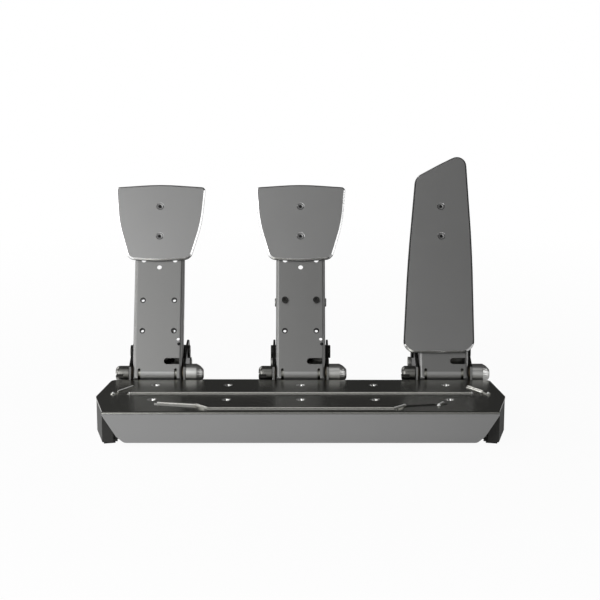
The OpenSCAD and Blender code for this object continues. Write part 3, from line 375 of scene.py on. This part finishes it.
def arm(pedal, s):
    node = pedal + "_arm"
    bm = softCopy(node, s["width"] * mm)
    back = armFrames[pedal].inverted()
    for face in bm.faces:
        spot = back @ face.calc_center_median() / mm
        # Outer side faces get painted shade; the rolled lower edge gets a painted highlight
        if abs(face.normal.x) > s["sideFrom"] and face.normal.x * spot.x > 0:
            face.material_index = 1
        elif spot.z < s["rollBelow"] and abs(spot.x) < s["rollHalf"]:
            face.material_index = 2
    addPiece(bm, camel(node), bodyOf[node], slotOf[node], [node], finish=["arm_coat", "arm_side", "arm_roll"])


# Heel deck, with a more neutral coat on its front panel
deckParts = {"width": 0.25, "frontFrom": 0.9}


def heelDeck(s):
    bm = softCopy("heel_deck", s["width"] * mm)
    for face in bm.faces:
        if -face.normal.y > s["frontFrom"]:
            face.material_index = 1
    addPiece(bm, "heelDeck", "root", slotOf["heel_deck"], ["heel_deck"], finish=["deck_coat", "panel_coat"])


# Skirts and tray, with the width of their broken edges in mm
sheetEdges = {"left_skirt": 0.3, "right_skirt": 0.3, "base_tray": 0.3}
heelDeck(deckParts)
for node, width in sheetEdges.items():
    dress(node, width)
for pedal in pedals:
    arm(pedal, armParts)
for pedal in pedals:
    bracket(pedal, bracketParts)
print("sheet metal dressed")


# Foot plates: a painted highlight on the front chamfers and painted shade on the sides; the throttle's plate has a
# darker coat as painted shade
plateParts = {"width": 0.12, "frontFrom": 0.97, "sideBelow": 0.25, "lowFrom": 0.3, "topFrom": 0.45}


def footPlate(pedal, s):
    node = pedal + "_plate"
    bm = softCopy(node, s["width"] * mm)
    front = Vector((0, -armUp.z, armUp.y))
    for face in bm.faces:
        facing = face.normal.dot(front)
        facesDown = face.normal.dot(armUp) < -s["lowFrom"]
        # Side faces get painted shade; front chamfers get the painted highlight, on the throttle only the downward
        # ones and the rest painted shade
        if abs(facing) < s["sideBelow"]:
            face.material_index = 2
        elif 0 < facing < s["frontFrom"] and face.normal.dot(armUp) < s["topFrom"]:
            face.material_index = 1 if pedal != "throttle" or facesDown else 2
    coat = "throttle_coat" if pedal == "throttle" else "plate_coat"
    addPiece(bm, camel(node), bodyOf[node], slotOf[node], [node], finish=[coat, "plate_rim", "plate_side"])


for pedal in pedals:
    footPlate(pedal, plateParts)
print("foot plates dressed")


# Place on an arm's front, whose third axis points out of it
def frontPlace(pedal, x, along, out):
    spot = Matrix.Translation((x * mm, -out * mm, along * mm))
    return armFrames[pedal] @ spot @ Matrix.Rotation(math.pi / 2, 4, "X")


# How far a node's front stands out of the arm's middle plane, in mm
def frontOf(node, pedal):
    back = armFrames[pedal].inverted()
    return -min((back @ v.co).y for v in frame["nodes"][node].data.vertices) / mm


# Flush socket screws in the foot plates, with painted shade in the hex socket and round the head's rim
plateScrew = {
    "headR": 3.38, "cone": 1.5, "shankR": 1.88, "long": 8.5, "hexR": 1.25, "hexDeep": 1.5, "ring": 0.32,
    "darkDown": 2, "spots": (133, 163),
}


def plateScrews(pedal, s):
    node = pedal + "_plate_screws"
    out = frontOf(pedal + "_plate", pedal)
    outline = [
        (0, -s["long"]), (s["shankR"], -s["long"]), (s["shankR"], -s["cone"] - 0.1),
        (s["headR"] - 0.1, -0.12), (s["headR"] - 0.35, -0.02), (s["hexR"] + 0.9, -0.1),
        (s["hexR"] + 0.15, -0.3), (s["hexR"], -0.45), (s["hexR"], -s["hexDeep"]), (0, -s["hexDeep"] - 0.3),
    ]
    bm = bmesh.new()
    for along in s["spots"]:
        screw = turned(outline, Matrix.Identity(4), steps=36)
        for face in screw.faces:
            centre = face.calc_center_median() / mm
            away = centre.xy.length
            # The socket and the head's outer ring, near the top, get painted shade
            if centre.z > -s["darkDown"] and (away < s["hexR"] + 0.1 or away > s["headR"] - s["ring"]):
                face.material_index = 1
        addTo(bm, screw, frontPlace(pedal, 0, along, out))
    addPiece(bm, camel(node), bodyOf[node], slotOf[node], [node], finish=["screw_grey", "black_steel"])


# Flanged eyelets in the arm's small holes, and a dark plug by its right edge
eyelet = {
    "bore": 1.7, "flangeR": 2.7, "holeR": 2.27, "bodyR": 3.5, "web": 2.5, "deep": 4.4, "x": 15,
    "spots": (40, 70),
}
plug = {"x": 20.0, "along": 27, "radius": 1.6, "proud": 0.5}


def armEyelets(pedal, s, p):
    out = frontOf(pedal + "_arm", pedal)
    ring = [
        (s["bore"], 0.14), (s["flangeR"] - 0.1, 0.14), (s["flangeR"], 0.02), (s["holeR"], 0.02),
        (s["holeR"], -s["web"] - 0.02), (s["bodyR"], -s["web"] - 0.02), (s["bodyR"], -s["deep"]),
        (s["bore"], -s["deep"]),
    ]
    dome = [
        (0, p["proud"]), (p["radius"] * 0.6, p["proud"] * 0.8), (p["radius"] * 0.9, p["proud"] * 0.3),
        (p["radius"], -0.2), (p["radius"], -0.9), (0, -0.9),
    ]
    bm = bmesh.new()
    spots = s["spots"][:1] if pedal == "brake" else s["spots"]  # the brake's upper holes hold its bolts
    for along in spots:
        for side in (-1, 1):
            addTo(bm, turned(ring, frontPlace(pedal, side * s["x"], along, out), steps=32, closed=True))
    addTo(bm, turned(dome, frontPlace(pedal, p["x"], p["along"], out), steps=24))
    addPiece(bm, pedal + "Eyelets", pedal + "_pedal", "dark_steel", finish=["black_steel"])


for pedal in pedals:
    plateScrews(pedal, plateScrew)
    armEyelets(pedal, eyelet, plug)
print("plate screws and eyelets made")


# Small hardware, with the width of its broken edges in mm
smallEdges = {
    "deck_standoffs": 0.3, "skirt_screws": 0.2, "skirt_strips": 0.3, "rubber_feet": 0.5,
    "bracket_bolts": 0.4, "pivot_bushes": 0.2, "stop_bolts": 0.35, "stop_rubbers": 0.7,
    "lower_pins": 0.35, "lower_pin_spacers": 0.3,
    "clutch_strut_pin": 0.4, "brake_strut_pin": 0.4, "throttle_strut_pin": 0.4,
    "brake_clevis": 0.4, "brake_clevis_bolts": 0.45, "brake_load_cell": 0.5,
    "clutch_strut_body": 0.5, "brake_strut_body": 0.5, "throttle_strut_body": 0.5,
    "controller_case": 0.6, "controller_lid": 0.5, "output_socket": 0.2,
    "sensor_boards": 0.15, "controller_board": 0.1,
}
for node, width in smallEdges.items():
    dress(node, width, finish=["screw_grey"] if node == "bracket_bolts" else ())
print("small hardware dressed")


# Countersunk deck screws with dished heads, with painted shade round the rim and on the socket's floor
deckScrew = {
    "headR": 4.4, "headDrop": 2.3, "shankR": 2.4, "dish": 0.12, "socketR": 2.9, "floorR": 1.9,
    "socketDepth": 1.8, "ring": 0.35, "darkDown": 2.2,
}


def deckScrews(s):
    low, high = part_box("deck_screws")
    top = high.z / mm
    tip = low.z / mm
    bm = bmesh.new()
    for x, y in screwSpots("deck_screws"):
        place = Matrix.Translation((x, y, 0))
        outline = [
            (0, tip), (s["shankR"], tip), (s["shankR"], top - s["headDrop"]), (s["headR"], top - 0.15),
            (s["headR"] - 0.2, top), (s["socketR"] + 0.2, top - s["dish"]),
            (s["socketR"], top - s["dish"] - 0.15), (s["floorR"], top - s["socketDepth"]),
            (0, top - s["socketDepth"] - 0.1),
        ]
        head = turned(outline, place, steps=36)
        for face in head.faces:
            centre = face.calc_center_median()
            fromMiddle = math.hypot(centre.x - x, centre.y - y) / mm
            # Painted shade on the head's outer ring and the socket floor
            dark = fromMiddle > s["headR"] - s["ring"] or fromMiddle < s["floorR"] - 0.1
            face.material_index = 1 if dark and centre.z > high.z - s["darkDown"] * mm else 0
        addTo(bm, head)
    look = ["screw_bright", "black_steel"]
    addPiece(bm, "deckScrews", "root", slotOf["deck_screws"], ["deck_screws"], finish=look)


# Middle of each loose part of a node, seen from above
def screwSpots(node):
    bm = bmesh.new()
    bm.from_mesh(frame["nodes"][node].data)
    bmesh.ops.remove_doubles(bm, verts=bm.verts, dist=0.000001)
    left = set(bm.verts)
    spots = []
    while left:
        group = set()
        waiting = [left.pop()]
        while waiting:
            vert = waiting.pop()
            group.add(vert)
            for edge in vert.link_edges:
                other = edge.other_vert(vert)
                if other in left:
                    left.discard(other)
                    waiting.append(other)
        xs = [v.co.x for v in group]
        ys = [v.co.y for v in group]
        spots.append(((min(xs) + max(xs)) / 2, (min(ys) + max(ys)) / 2))
    bm.free()
    return sorted(spots)


deckScrews(deckScrew)
print("deck screws made")


# Ridges pressed into the deck, laid over the plain CAD beads; the strong ridges get a lighter coat as a painted
# sheen, and painted highlights at their ends and on some crests
ridge = {
    "deckTop": 33.5, "height": 2.2, "spread": 1.42, "reach": 3.6, "steps": 24, "sink": 0.08, "brightR": 1.8,
    "crestHalf": 0.6, "finish": "ridge_coat",
}
faintRidge = {**ridge, "height": 0.2, "spread": 2.2, "finish": "deck_coat"}
ridgeLayout = {"lineX": 157.5, "lineBack": 55, "frontX": 84, "frontBack": 8.5}


# Paths of the ridges in mm: a long line, a slash and a dot at each end, and a bent line in front
def ridgePaths(s):
    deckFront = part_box("heel_deck")[0].y / mm
    lineX, lineY = s["lineX"], deckFront + s["lineBack"]
    frontX, frontY = s["frontX"], deckFront + s["frontBack"]
    line = [(-lineX, lineY), (lineX, lineY)]
    slashes = [[(side * (lineX - 1), lineY + 21), (side * (lineX + 11), lineY + 5)] for side in (-1, 1)]
    dots = [[(side * (lineX + 15.5), lineY)] for side in (-1, 1)]
    bend = [(frontX, frontY), (frontX + 10, frontY + 9)]
    front = [(-frontX - 45, frontY + 17), (-frontX - 10, frontY + 10), (-frontX, frontY), *bend]
    tail = [(frontX + 41, frontY + 11), (frontX + 45, frontY + 17)]
    return {
        "strong": [line, *slashes, *dots, front, tail],
        "faint": [[bend[1], (frontX + 45, frontY + 16)]],
        # Which ends go without a painted highlight, and which crests carry one
        "plainEnds": slashes,
        "brightCrests": [slashes[0], bend, tail],
    }


# Height of a ridge beside its middle line
def ridgeHeight(off, s):
    return s["deckTop"] + s["height"] * math.exp(-((off / s["spread"]) ** 2)) - s["sink"]


def ridgeBar(start, end, s, highlightCrest):
    run = end - start
    side = Vector((-run.y, run.x)).normalized()
    bm = bmesh.new()
    profile = []
    for k in range(-s["steps"], s["steps"] + 1):
        off = s["reach"] * k / s["steps"]
        spot = start + side * off
        profile.append(bm.verts.new((spot.x * mm, spot.y * mm, ridgeHeight(off, s) * mm)))
    edges = [bm.edges.new(pair) for pair in zip(profile, profile[1:])]
    made = bmesh.ops.extrude_edge_only(bm, edges=edges)["geom"]
    moved = [item for item in made if isinstance(item, bmesh.types.BMVert)]
    bmesh.ops.translate(bm, verts=moved, vec=(run.x * mm, run.y * mm, 0))
    for face in bm.faces:
        # Faces along a listed crest get the painted highlight
        if highlightCrest and abs((face.calc_center_median().xy / mm - start).dot(side)) < s["crestHalf"]:
            face.material_index = 1
    bmesh.ops.recalc_face_normals(bm, faces=bm.faces)
    return bm


def ridges(name, s, paths, plainEnds=(), brightCrests=()):
    offs = [s["reach"] * k / s["steps"] for k in range(s["steps"] + 1)]
    dome = [(off, ridgeHeight(off, s)) for off in offs]
    bm = bmesh.new()
    for path in paths:
        spots = [Vector(spot) for spot in path]
        for start, end in zip(path, path[1:]):
            addTo(bm, ridgeBar(Vector(start), Vector(end), s, [start, end] in brightCrests))
        for spot in spots:
            cap = turned(dome, Matrix.Translation((spot.x * mm, spot.y * mm, 0)), steps=32)
            # End caps get a painted highlight round their middle
            if spot in (spots[0], spots[-1]) and path not in plainEnds:
                for face in cap.faces:
                    centre = face.calc_center_median()
                    if (centre.xy / mm - spot).length < s["brightR"]:
                        face.material_index = 1
            addTo(bm, cap)
    for face in bm.faces:
        if face.normal.z < 0:
            face.normal_flip()
    addPiece(bm, name, "root", "deck_coat", sharpAngle=60, finish=[s["finish"], "bead_end"])


paths = ridgePaths(ridgeLayout)
ridges("deckRidges", ridge, paths["strong"], paths["plainEnds"], paths["brightCrests"])
ridges("faintRidges", faintRidge, paths["faint"])
print("deck ridges made")


# Pivot axles: a slotted, domed head on the left, the shank, and a sleeve inside the arm
wallOuter = {p: (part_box(p + "_bracket")[1].x - pivots[p].x) / mm for p in pedals}
axleHead = {
    "headR": 7.6, "headLong": 13.0, "gap": 0.3, "dome": 4.0, "slotHalf": 1.7, "slotDeep": 7.5, "shankR": 3.98,
    "steps": 56, "sleeveR": 6.2, "sleeveHalf": 20.7,
}


# Half of a slotted, domed head: a turned head cut off along one wall of the slot
def headHalf(outer, up, s):
    low = outer + s["slotDeep"] + 0.2
    outline = [(0, outer)]
    for turn in (0, 12, 25, 40, 55, 72, 90):
        a = math.radians(turn)
        outline.append((s["headR"] - s["dome"] * (1 - math.sin(a)), outer + s["dome"] * (1 - math.cos(a))))
    outline += [(s["headR"], low), (0, low)]
    bm = turned(outline, Matrix.Identity(4), steps=s["steps"])
    cut = bmesh.ops.bisect_plane(
        bm, geom=bm.verts[:] + bm.edges[:] + bm.faces[:], plane_co=(0, up * s["slotHalf"] * mm, 0),
        plane_no=(0, up, 0), clear_inner=True,
    )
    rim = [item for item in cut["geom_cut"] if isinstance(item, bmesh.types.BMEdge)]
    bmesh.ops.holes_fill(bm, edges=rim)
    bmesh.ops.recalc_face_normals(bm, faces=bm.faces)
    return bm


def pivotAxle(pedal, s):
    node = pedal + "_axle"
    inner = -wallOuter[pedal] - s["gap"]
    outer = inner - s["headLong"]
    end = (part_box(node)[1].x - pivots[pedal].x) / mm
    outline = [
        (0, outer + s["slotDeep"]), (s["headR"], outer + s["slotDeep"]),
        (s["headR"], inner - 0.4), (s["headR"] - 0.4, inner), (s["shankR"], inner),
        (s["shankR"], end - 0.5), (s["shankR"] - 0.5, end), (0, end),
    ]
    bm = turned(outline, pivotFrames[pedal], steps=s["steps"])
    for up in (-1, 1):
        addTo(bm, headHalf(outer, up, s), pivotFrames[pedal])
    for face in bm.faces:
        if face.calc_center_median().x < pivots[pedal].x + inner * mm:
            face.material_index = 1
    sleeve = ringOutline(s["shankR"] + 0.03, s["sleeveR"], -s["sleeveHalf"], s["sleeveHalf"], 0.4)
    addTo(bm, turned(sleeve, pivotFrames[pedal], closed=True))
    addPiece(bm, camel(node), bodyOf[node], slotOf[node], [node], finish=[slotOf[node], "head_steel"])


for pedal in pedals:
    pivotAxle(pedal, axleHead)
print("axles made")


# Sensor caps: hollow, with a ribbed taper
capShape = {
    "long": 17.0, "taper": 6.5, "outerR": 9.6, "wall": 2.4, "endR": 4.15, "bushR": 5.52,
    "boreFrom": 3.2, "floor": 12.9, "ribs": 24, "ribDeep": 0.2,
}


def sensorCap(pedal, s):
    node = pedal + "_sensor_cap"
    base, big = wallOuter[pedal], s["outerR"]
    end = base + s["long"]
    taperFrom = end - s["taper"]
    bore = big - s["wall"]
    outline = [
        (s["bushR"], base), (big - 0.5, base), (big - 0.15, base + 0.15), (big, base + 0.5),
        (big, taperFrom - 0.3), (big - 0.1, taperFrom), (big - 0.4, taperFrom + 0.4),
        (big - 1.35, taperFrom + 2.2), (big - 2.6, taperFrom + 3.9), (s["endR"] + 0.9, end - 0.8),
        (s["endR"] + 0.2, end - 0.25), (s["endR"] - 0.6, end), (0, end),
        (0, base + s["floor"]), (bore, base + s["floor"]), (bore, base + s["boreFrom"]),
        (s["bushR"], base + s["boreFrom"]),
    ]
    bm = turned(outline, Matrix.Identity(4), steps=s["ribs"] * 4, closed=True)
    for vert in bm.verts:
        reach = math.hypot(vert.co.x, vert.co.y) / mm
        if taperFrom + 0.1 < vert.co.z / mm < end - 0.3 and reach > s["endR"]:
            wave = math.cos(math.atan2(vert.co.y, vert.co.x) * s["ribs"])
            vert.co.x *= 1 - s["ribDeep"] / reach * max(0, wave)
            vert.co.y *= 1 - s["ribDeep"] / reach * max(0, wave)
    bmesh.ops.transform(bm, matrix=pivotFrames[pedal], verts=bm.verts)
    addPiece(bm, camel(node), bodyOf[node], slotOf[node], [node])


for pedal in pedals:
    sensorCap(pedal, capShape)
print("sensor caps made")


# Strut rods: threaded shank and eye
rodShape = {
    "eyeR": 7.5, "bore": 4.55, "wide": 8.0, "rodR": 4.0, "threadDeep": 0.45, "pitch": 1.25, "nutBelow": 17.5,
    "threadBelow": 15.9,
}


# Lowest and highest point of a rod along its strut, in mm from the lower pin
def rodReach(pedal):
    verts = frame["nodes"][pedal + "_strut_rod"].data.vertices
    reaches = [(v.co - lowerPins[pedal]).dot(strutUps[pedal]) / mm for v in verts]
    return min(reaches), max(reaches)


strutLong = {}
nutLow = {}
for pedal in pedals:
    strutLong[pedal] = rodReach(pedal)[1] - rodShape["eyeR"]
    nutLow[pedal] = strutLong[pedal] - rodShape["nutBelow"]


# Thread as a row of ridges, for a turned outline
def threadOutline(radius, deep, pitch, low, high):
    outline = []
    turns = int((high - low) / pitch)
    for k in range(turns):
        base = low + k * pitch
        outline += [(radius - deep, base), (radius, base + pitch * 0.38), (radius, base + pitch * 0.55)]
    outline.append((radius - deep, low + turns * pitch))
    return outline


def strutRod(pedal, s):
    node = pedal + "_strut_rod"
    top = strutLong[pedal]
    low = rodReach(pedal)[0]
    threadLow = nutLow[pedal] - s["threadBelow"]
    outline = [(0, low), (s["rodR"] - 0.6, low), (s["rodR"], low + 0.6), (s["rodR"], threadLow)]
    outline += threadOutline(s["rodR"], s["threadDeep"], s["pitch"], threadLow + 0.6, top - s["eyeR"] - 0.4)
    outline += [
        (s["rodR"], top - s["eyeR"] + 0.1), (s["rodR"] + 0.6, top - s["eyeR"] + 0.9),
        (0, top - s["bore"] - 1),
    ]
    bm = turned(outline, strutFrames[pedal], steps=40)
    eye = across(strutFrames[pedal] @ Vector((0, 0, top * mm)))
    addTo(bm, turned(ringOutline(s["bore"], s["eyeR"], -s["wide"], s["wide"], 0.5), eye, closed=True))
    addPiece(bm, camel(node), bodyOf[node], slotOf[node], [node])


for pedal in pedals:
    strutRod(pedal, rodShape)
print("strut rods made")


# Knurled preload nuts with a raised collar
nutShape = {"bore": 4.02, "thick": 5.0, "teeth": 48, "toothDeep": 0.35, "collar": 3.2}


def preloadNut(pedal, s):
    node = pedal + "_preload_nut"
    low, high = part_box(node)
    outer = (high.x - low.x) / 2 / mm
    base = nutLow[pedal]
    top = base + s["thick"]
    outline = [
        (s["bore"], base), (outer - 0.9, base), (outer, base + 0.7), (outer, top - 1.4),
        (outer - 0.8, top - 0.7), (outer - s["collar"], top - 0.7), (outer - s["collar"] - 0.3, top - 0.3),
        (outer - s["collar"] - 0.8, top), (s["bore"] + 0.5, top), (s["bore"], top - 0.5),
    ]
    bm = turned(outline, Matrix.Identity(4), steps=s["teeth"] * 4, closed=True)
    for vert in bm.verts:
        reach = math.hypot(vert.co.x, vert.co.y) / mm
        if reach > outer - 0.1:
            wave = math.cos(math.atan2(vert.co.y, vert.co.x) * s["teeth"])
            vert.co.x *= 1 - s["toothDeep"] / reach * max(0, wave)
            vert.co.y *= 1 - s["toothDeep"] / reach * max(0, wave)
    bmesh.ops.transform(bm, matrix=strutFrames[pedal], verts=bm.verts)
    addPiece(bm, camel(node), bodyOf[node], slotOf[node], [node], sharpAngle=25)


for pedal in pedals:
    preloadNut(pedal, nutShape)
print("preload nuts made")


# Coil springs with closed, ground ends
springShape = {
    "wire": 2.4, "coil": 20.0, "seat": 16.3, "gap": 0.3, "deadTurns": 0.9, "deadPitch": 1.02, "turns": 3.7,
    "keep": 0.56,
}


def coilSpring(pedal, s):
    node = pedal + "_spring"
    high = nutLow[pedal] - s["gap"]
    tall = high - s["seat"]
    bm = bmesh.new()
    start = Matrix.Translation((s["coil"] / 2 * mm, 0, s["wire"] * 0.3 * mm))
    place = start @ Matrix.Rotation(math.pi / 2, 4, "X")
    bmesh.ops.create_circle(bm, segments=14, radius=s["wire"] / 2 * mm, matrix=place)
    geom = bm.verts[:] + bm.edges[:]
    firstRing = bm.edges[:]
    deadRise = s["deadTurns"] * s["wire"] * s["deadPitch"]
    activeRise = tall - s["wire"] * 0.6 - 2 * deadRise
    for turns, rise in ((s["deadTurns"], deadRise), (s["turns"], activeRise), (s["deadTurns"], deadRise)):
        steps = round(turns * 32)
        made = bmesh.ops.spin(
            bm, geom=geom, cent=(0, 0, 0), axis=(0, 0, 1), dvec=(0, 0, rise / steps * mm),
            angle=turns * 2 * math.pi, steps=steps,
        )
        geom = made["geom_last"]
    lastRing = [e for e in geom if isinstance(e, bmesh.types.BMEdge)]
    bmesh.ops.holes_fill(bm, edges=firstRing + lastRing)
    bmesh.ops.remove_doubles(bm, verts=bm.verts, dist=0.0000001)
    bmesh.ops.recalc_face_normals(bm, faces=bm.faces)
    for vert in bm.verts:
        vert.co.z = min(max(vert.co.z, 0), tall * mm) + s["seat"] * mm
    bmesh.ops.transform(bm, matrix=strutFrames[pedal], verts=bm.verts)
    obj = addPiece(bm, camel(node), bodyOf[node], slotOf[node], [node], sharpAngle=50)
    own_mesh(obj)


for pedal in ("clutch", "throttle"):
    coilSpring(pedal, springShape)
print("springs wound")


# Brake elastomer with three bulging rings
rubberShape = {
    "bore": 7.0, "neck": 11.0, "bellyR": 14.0, "low": 25.3, "gap": 0.3, "rings": 3, "steps": 12,
    "keep": 0.757,
}


def elastomer(s):
    node = "brake_elastomer"
    high = nutLow["brake"] - s["gap"]
    ring = (high - s["low"]) / s["rings"]
    outline = [(s["bore"], s["low"])]
    for k in range(s["rings"]):
        for n in range(s["steps"] + 1):
            share = n / s["steps"]
            swell = min(1.0, 1.12 * math.sin(math.pi * share) ** 0.45)
            outline.append((s["neck"] + (s["bellyR"] - s["neck"]) * swell, s["low"] + (k + share) * ring))
    outline.append((s["bore"], high))
    bm = turned(outline, strutFrames["brake"], steps=64, closed=True)
    obj = addPiece(bm, camel(node), bodyOf[node], slotOf[node], [node], sharpAngle=60)
    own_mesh(obj)


elastomer(rubberShape)
print("elastomer made")

for node, obj in frame["nodes"].items():
    obj.data.materials.clear()
    obj.data.materials.append(materials[slotOf[node]])
print("other nodes painted")


# Floor, world and lamps
studio = {
    "floorSize": 16.0,
    "floorDrop": 0.0002,
    "floorColour": (0.9, 0.9, 0.9, 1),
    "nearGlow": 0.95,
    "farGlow": 1.0,
    "nearReach": 0.3,
    "farReach": 0.9,
    # Painted glow that glossy rays see on the floor, from left to right
    "mirrorGlow": (1.0, 0.04),
    "mirrorReach": 0.32,
    "worldColour": (0.05, 0.05, 0.049, 1),
}
lamps = {
    "keyLamp": {"place": (-0.75, -1.0, 0.72), "wide": 0.9, "tall": 1.1, "power": 8.6},
    "frontLamp": {"place": (0.1, -1.4, 0.6), "wide": 1.0, "tall": 1.1, "power": 1.7},
    "topLamp": {"place": (-0.1, -0.5, 1.5), "wide": 1.0, "tall": 0.7, "power": 1.6},
    "leftLamp": {"place": (-1.3, 0.0, 0.35), "wide": 0.8, "tall": 0.7, "power": 5},
    "rightLamp": {"place": (1.3, -0.1, 0.35), "wide": 0.8, "tall": 0.7, "power": 3},
    "backLamp": {"place": (-1.1, 1.0, 1.1), "wide": 0.9, "tall": 0.9, "power": 8},
}


def makeFloor(s):
    bm = bmesh.new()
    bmesh.ops.create_grid(bm, x_segments=1, y_segments=1, size=s["floorSize"] / 2)
    bmesh.ops.translate(bm, verts=bm.verts, vec=(0, 0, -s["floorDrop"]))
    mesh = bpy.data.meshes.new("floor")
    bm.to_mesh(mesh)
    bm.free()
    mesh.materials.append(makeFloorFinish(s))
    obj = bpy.data.objects.new("floor", mesh)
    bpy.context.scene.collection.objects.link(obj)


# Pale paper that fades to plain white away from the set; to glossy rays it also glows, strong on the left and
# fading towards the right, a painted light gradient in what metal mirrors
def makeFloorFinish(s):
    material = bpy.data.materials.new("pale floor")
    material.use_nodes = True
    tree = material.node_tree
    shader = tree.nodes["Principled BSDF"]
    shader.inputs["Base Color"].default_value = s["floorColour"]
    shader.inputs["Roughness"].default_value = 1.0
    shader.inputs["Specular IOR Level"].default_value = 0.0
    glow = addNode(tree, "ShaderNodeEmission", Strength=1.0)
    path = addNode(tree, "ShaderNodeLightPath")
    place = addNode(tree, "ShaderNodeTexCoord")
    away = addNode(tree, "ShaderNodeVectorMath", operation="LENGTH")
    fade = addNode(tree, "ShaderNodeMapRange")
    fade.inputs["From Min"].default_value = s["nearReach"]
    fade.inputs["From Max"].default_value = s["farReach"]
    fade.inputs["To Min"].default_value = s["nearGlow"]
    fade.inputs["To Max"].default_value = s["farGlow"]
    seen = addNode(tree, "ShaderNodeMath", operation="MULTIPLY")
    mirrored = addNode(tree, "ShaderNodeMath", operation="MULTIPLY_ADD")
    split = addNode(tree, "ShaderNodeSeparateXYZ")
    sideways = addNode(tree, "ShaderNodeMapRange")
    sideways.inputs["From Min"].default_value = -s["mirrorReach"]
    sideways.inputs["From Max"].default_value = s["mirrorReach"]
    sideways.inputs["To Min"].default_value = s["mirrorGlow"][0]
    sideways.inputs["To Max"].default_value = s["mirrorGlow"][1]
    through = addNode(tree, "ShaderNodeMath", operation="MAXIMUM")
    blend = addNode(tree, "ShaderNodeMixShader")
    join(tree, place.outputs["Object"], away.inputs[0])
    join(tree, away.outputs["Value"], fade.inputs["Value"])
    join(tree, path.outputs["Is Camera Ray"], through.inputs[0])
    join(tree, path.outputs["Is Transmission Ray"], through.inputs[1])
    join(tree, through.outputs[0], seen.inputs[0])
    join(tree, fade.outputs[0], seen.inputs[1])
    join(tree, place.outputs["Object"], split.inputs[0])
    join(tree, split.outputs["X"], sideways.inputs["Value"])
    # Glossy rays see a painted glow that falls from left to right
    join(tree, path.outputs["Is Glossy Ray"], mirrored.inputs[0])
    join(tree, sideways.outputs[0], mirrored.inputs[1])
    join(tree, seen.outputs[0], mirrored.inputs[2])
    join(tree, mirrored.outputs[0], blend.inputs[0])
    join(tree, shader.outputs[0], blend.inputs[1])
    join(tree, glow.outputs[0], blend.inputs[2])
    join(tree, blend.outputs[0], tree.nodes["Material Output"].inputs["Surface"])
    return material


# Dim light all round, and white where the camera looks past the floor
def makeWorld(s):
    world = bpy.data.worlds.new("studio")
    bpy.context.scene.world = world
    world.use_nodes = True
    tree = world.node_tree
    around = tree.nodes["Background"]
    around.inputs["Color"].default_value = s["worldColour"]
    paper = addNode(tree, "ShaderNodeBackground", Color=(1, 1, 1, 1), Strength=1.0)
    path = addNode(tree, "ShaderNodeLightPath")
    seen = addNode(tree, "ShaderNodeMath", operation="MAXIMUM")
    blend = addNode(tree, "ShaderNodeMixShader")
    join(tree, path.outputs["Is Camera Ray"], seen.inputs[0])
    join(tree, path.outputs["Is Transmission Ray"], seen.inputs[1])
    join(tree, seen.outputs[0], blend.inputs[0])
    join(tree, around.outputs[0], blend.inputs[1])
    join(tree, paper.outputs[0], blend.inputs[2])
    join(tree, blend.outputs[0], tree.nodes["World Output"].inputs["Surface"])


# Soft square lamps, all turned to the set's middle
def makeLamps(settings, aim):
    for name, s in settings.items():
        data = bpy.data.lights.new(name, "AREA")
        data.shape = "RECTANGLE"
        data.size = s["wide"]
        data.size_y = s["tall"]
        data.energy = s["power"]
        obj = bpy.data.objects.new(name, data)
        bpy.context.scene.collection.objects.link(obj)
        obj.location = s["place"]
        obj.rotation_euler = (aim - obj.location).to_track_quat("-Z", "Y").to_euler()
        obj.visible_camera = False


makeFloor(studio)
makeWorld(studio)
makeLamps(lamps, (cadLow + cadHigh) / 2)
bpy.context.scene.view_settings.view_transform = "Standard"
print("studio set")
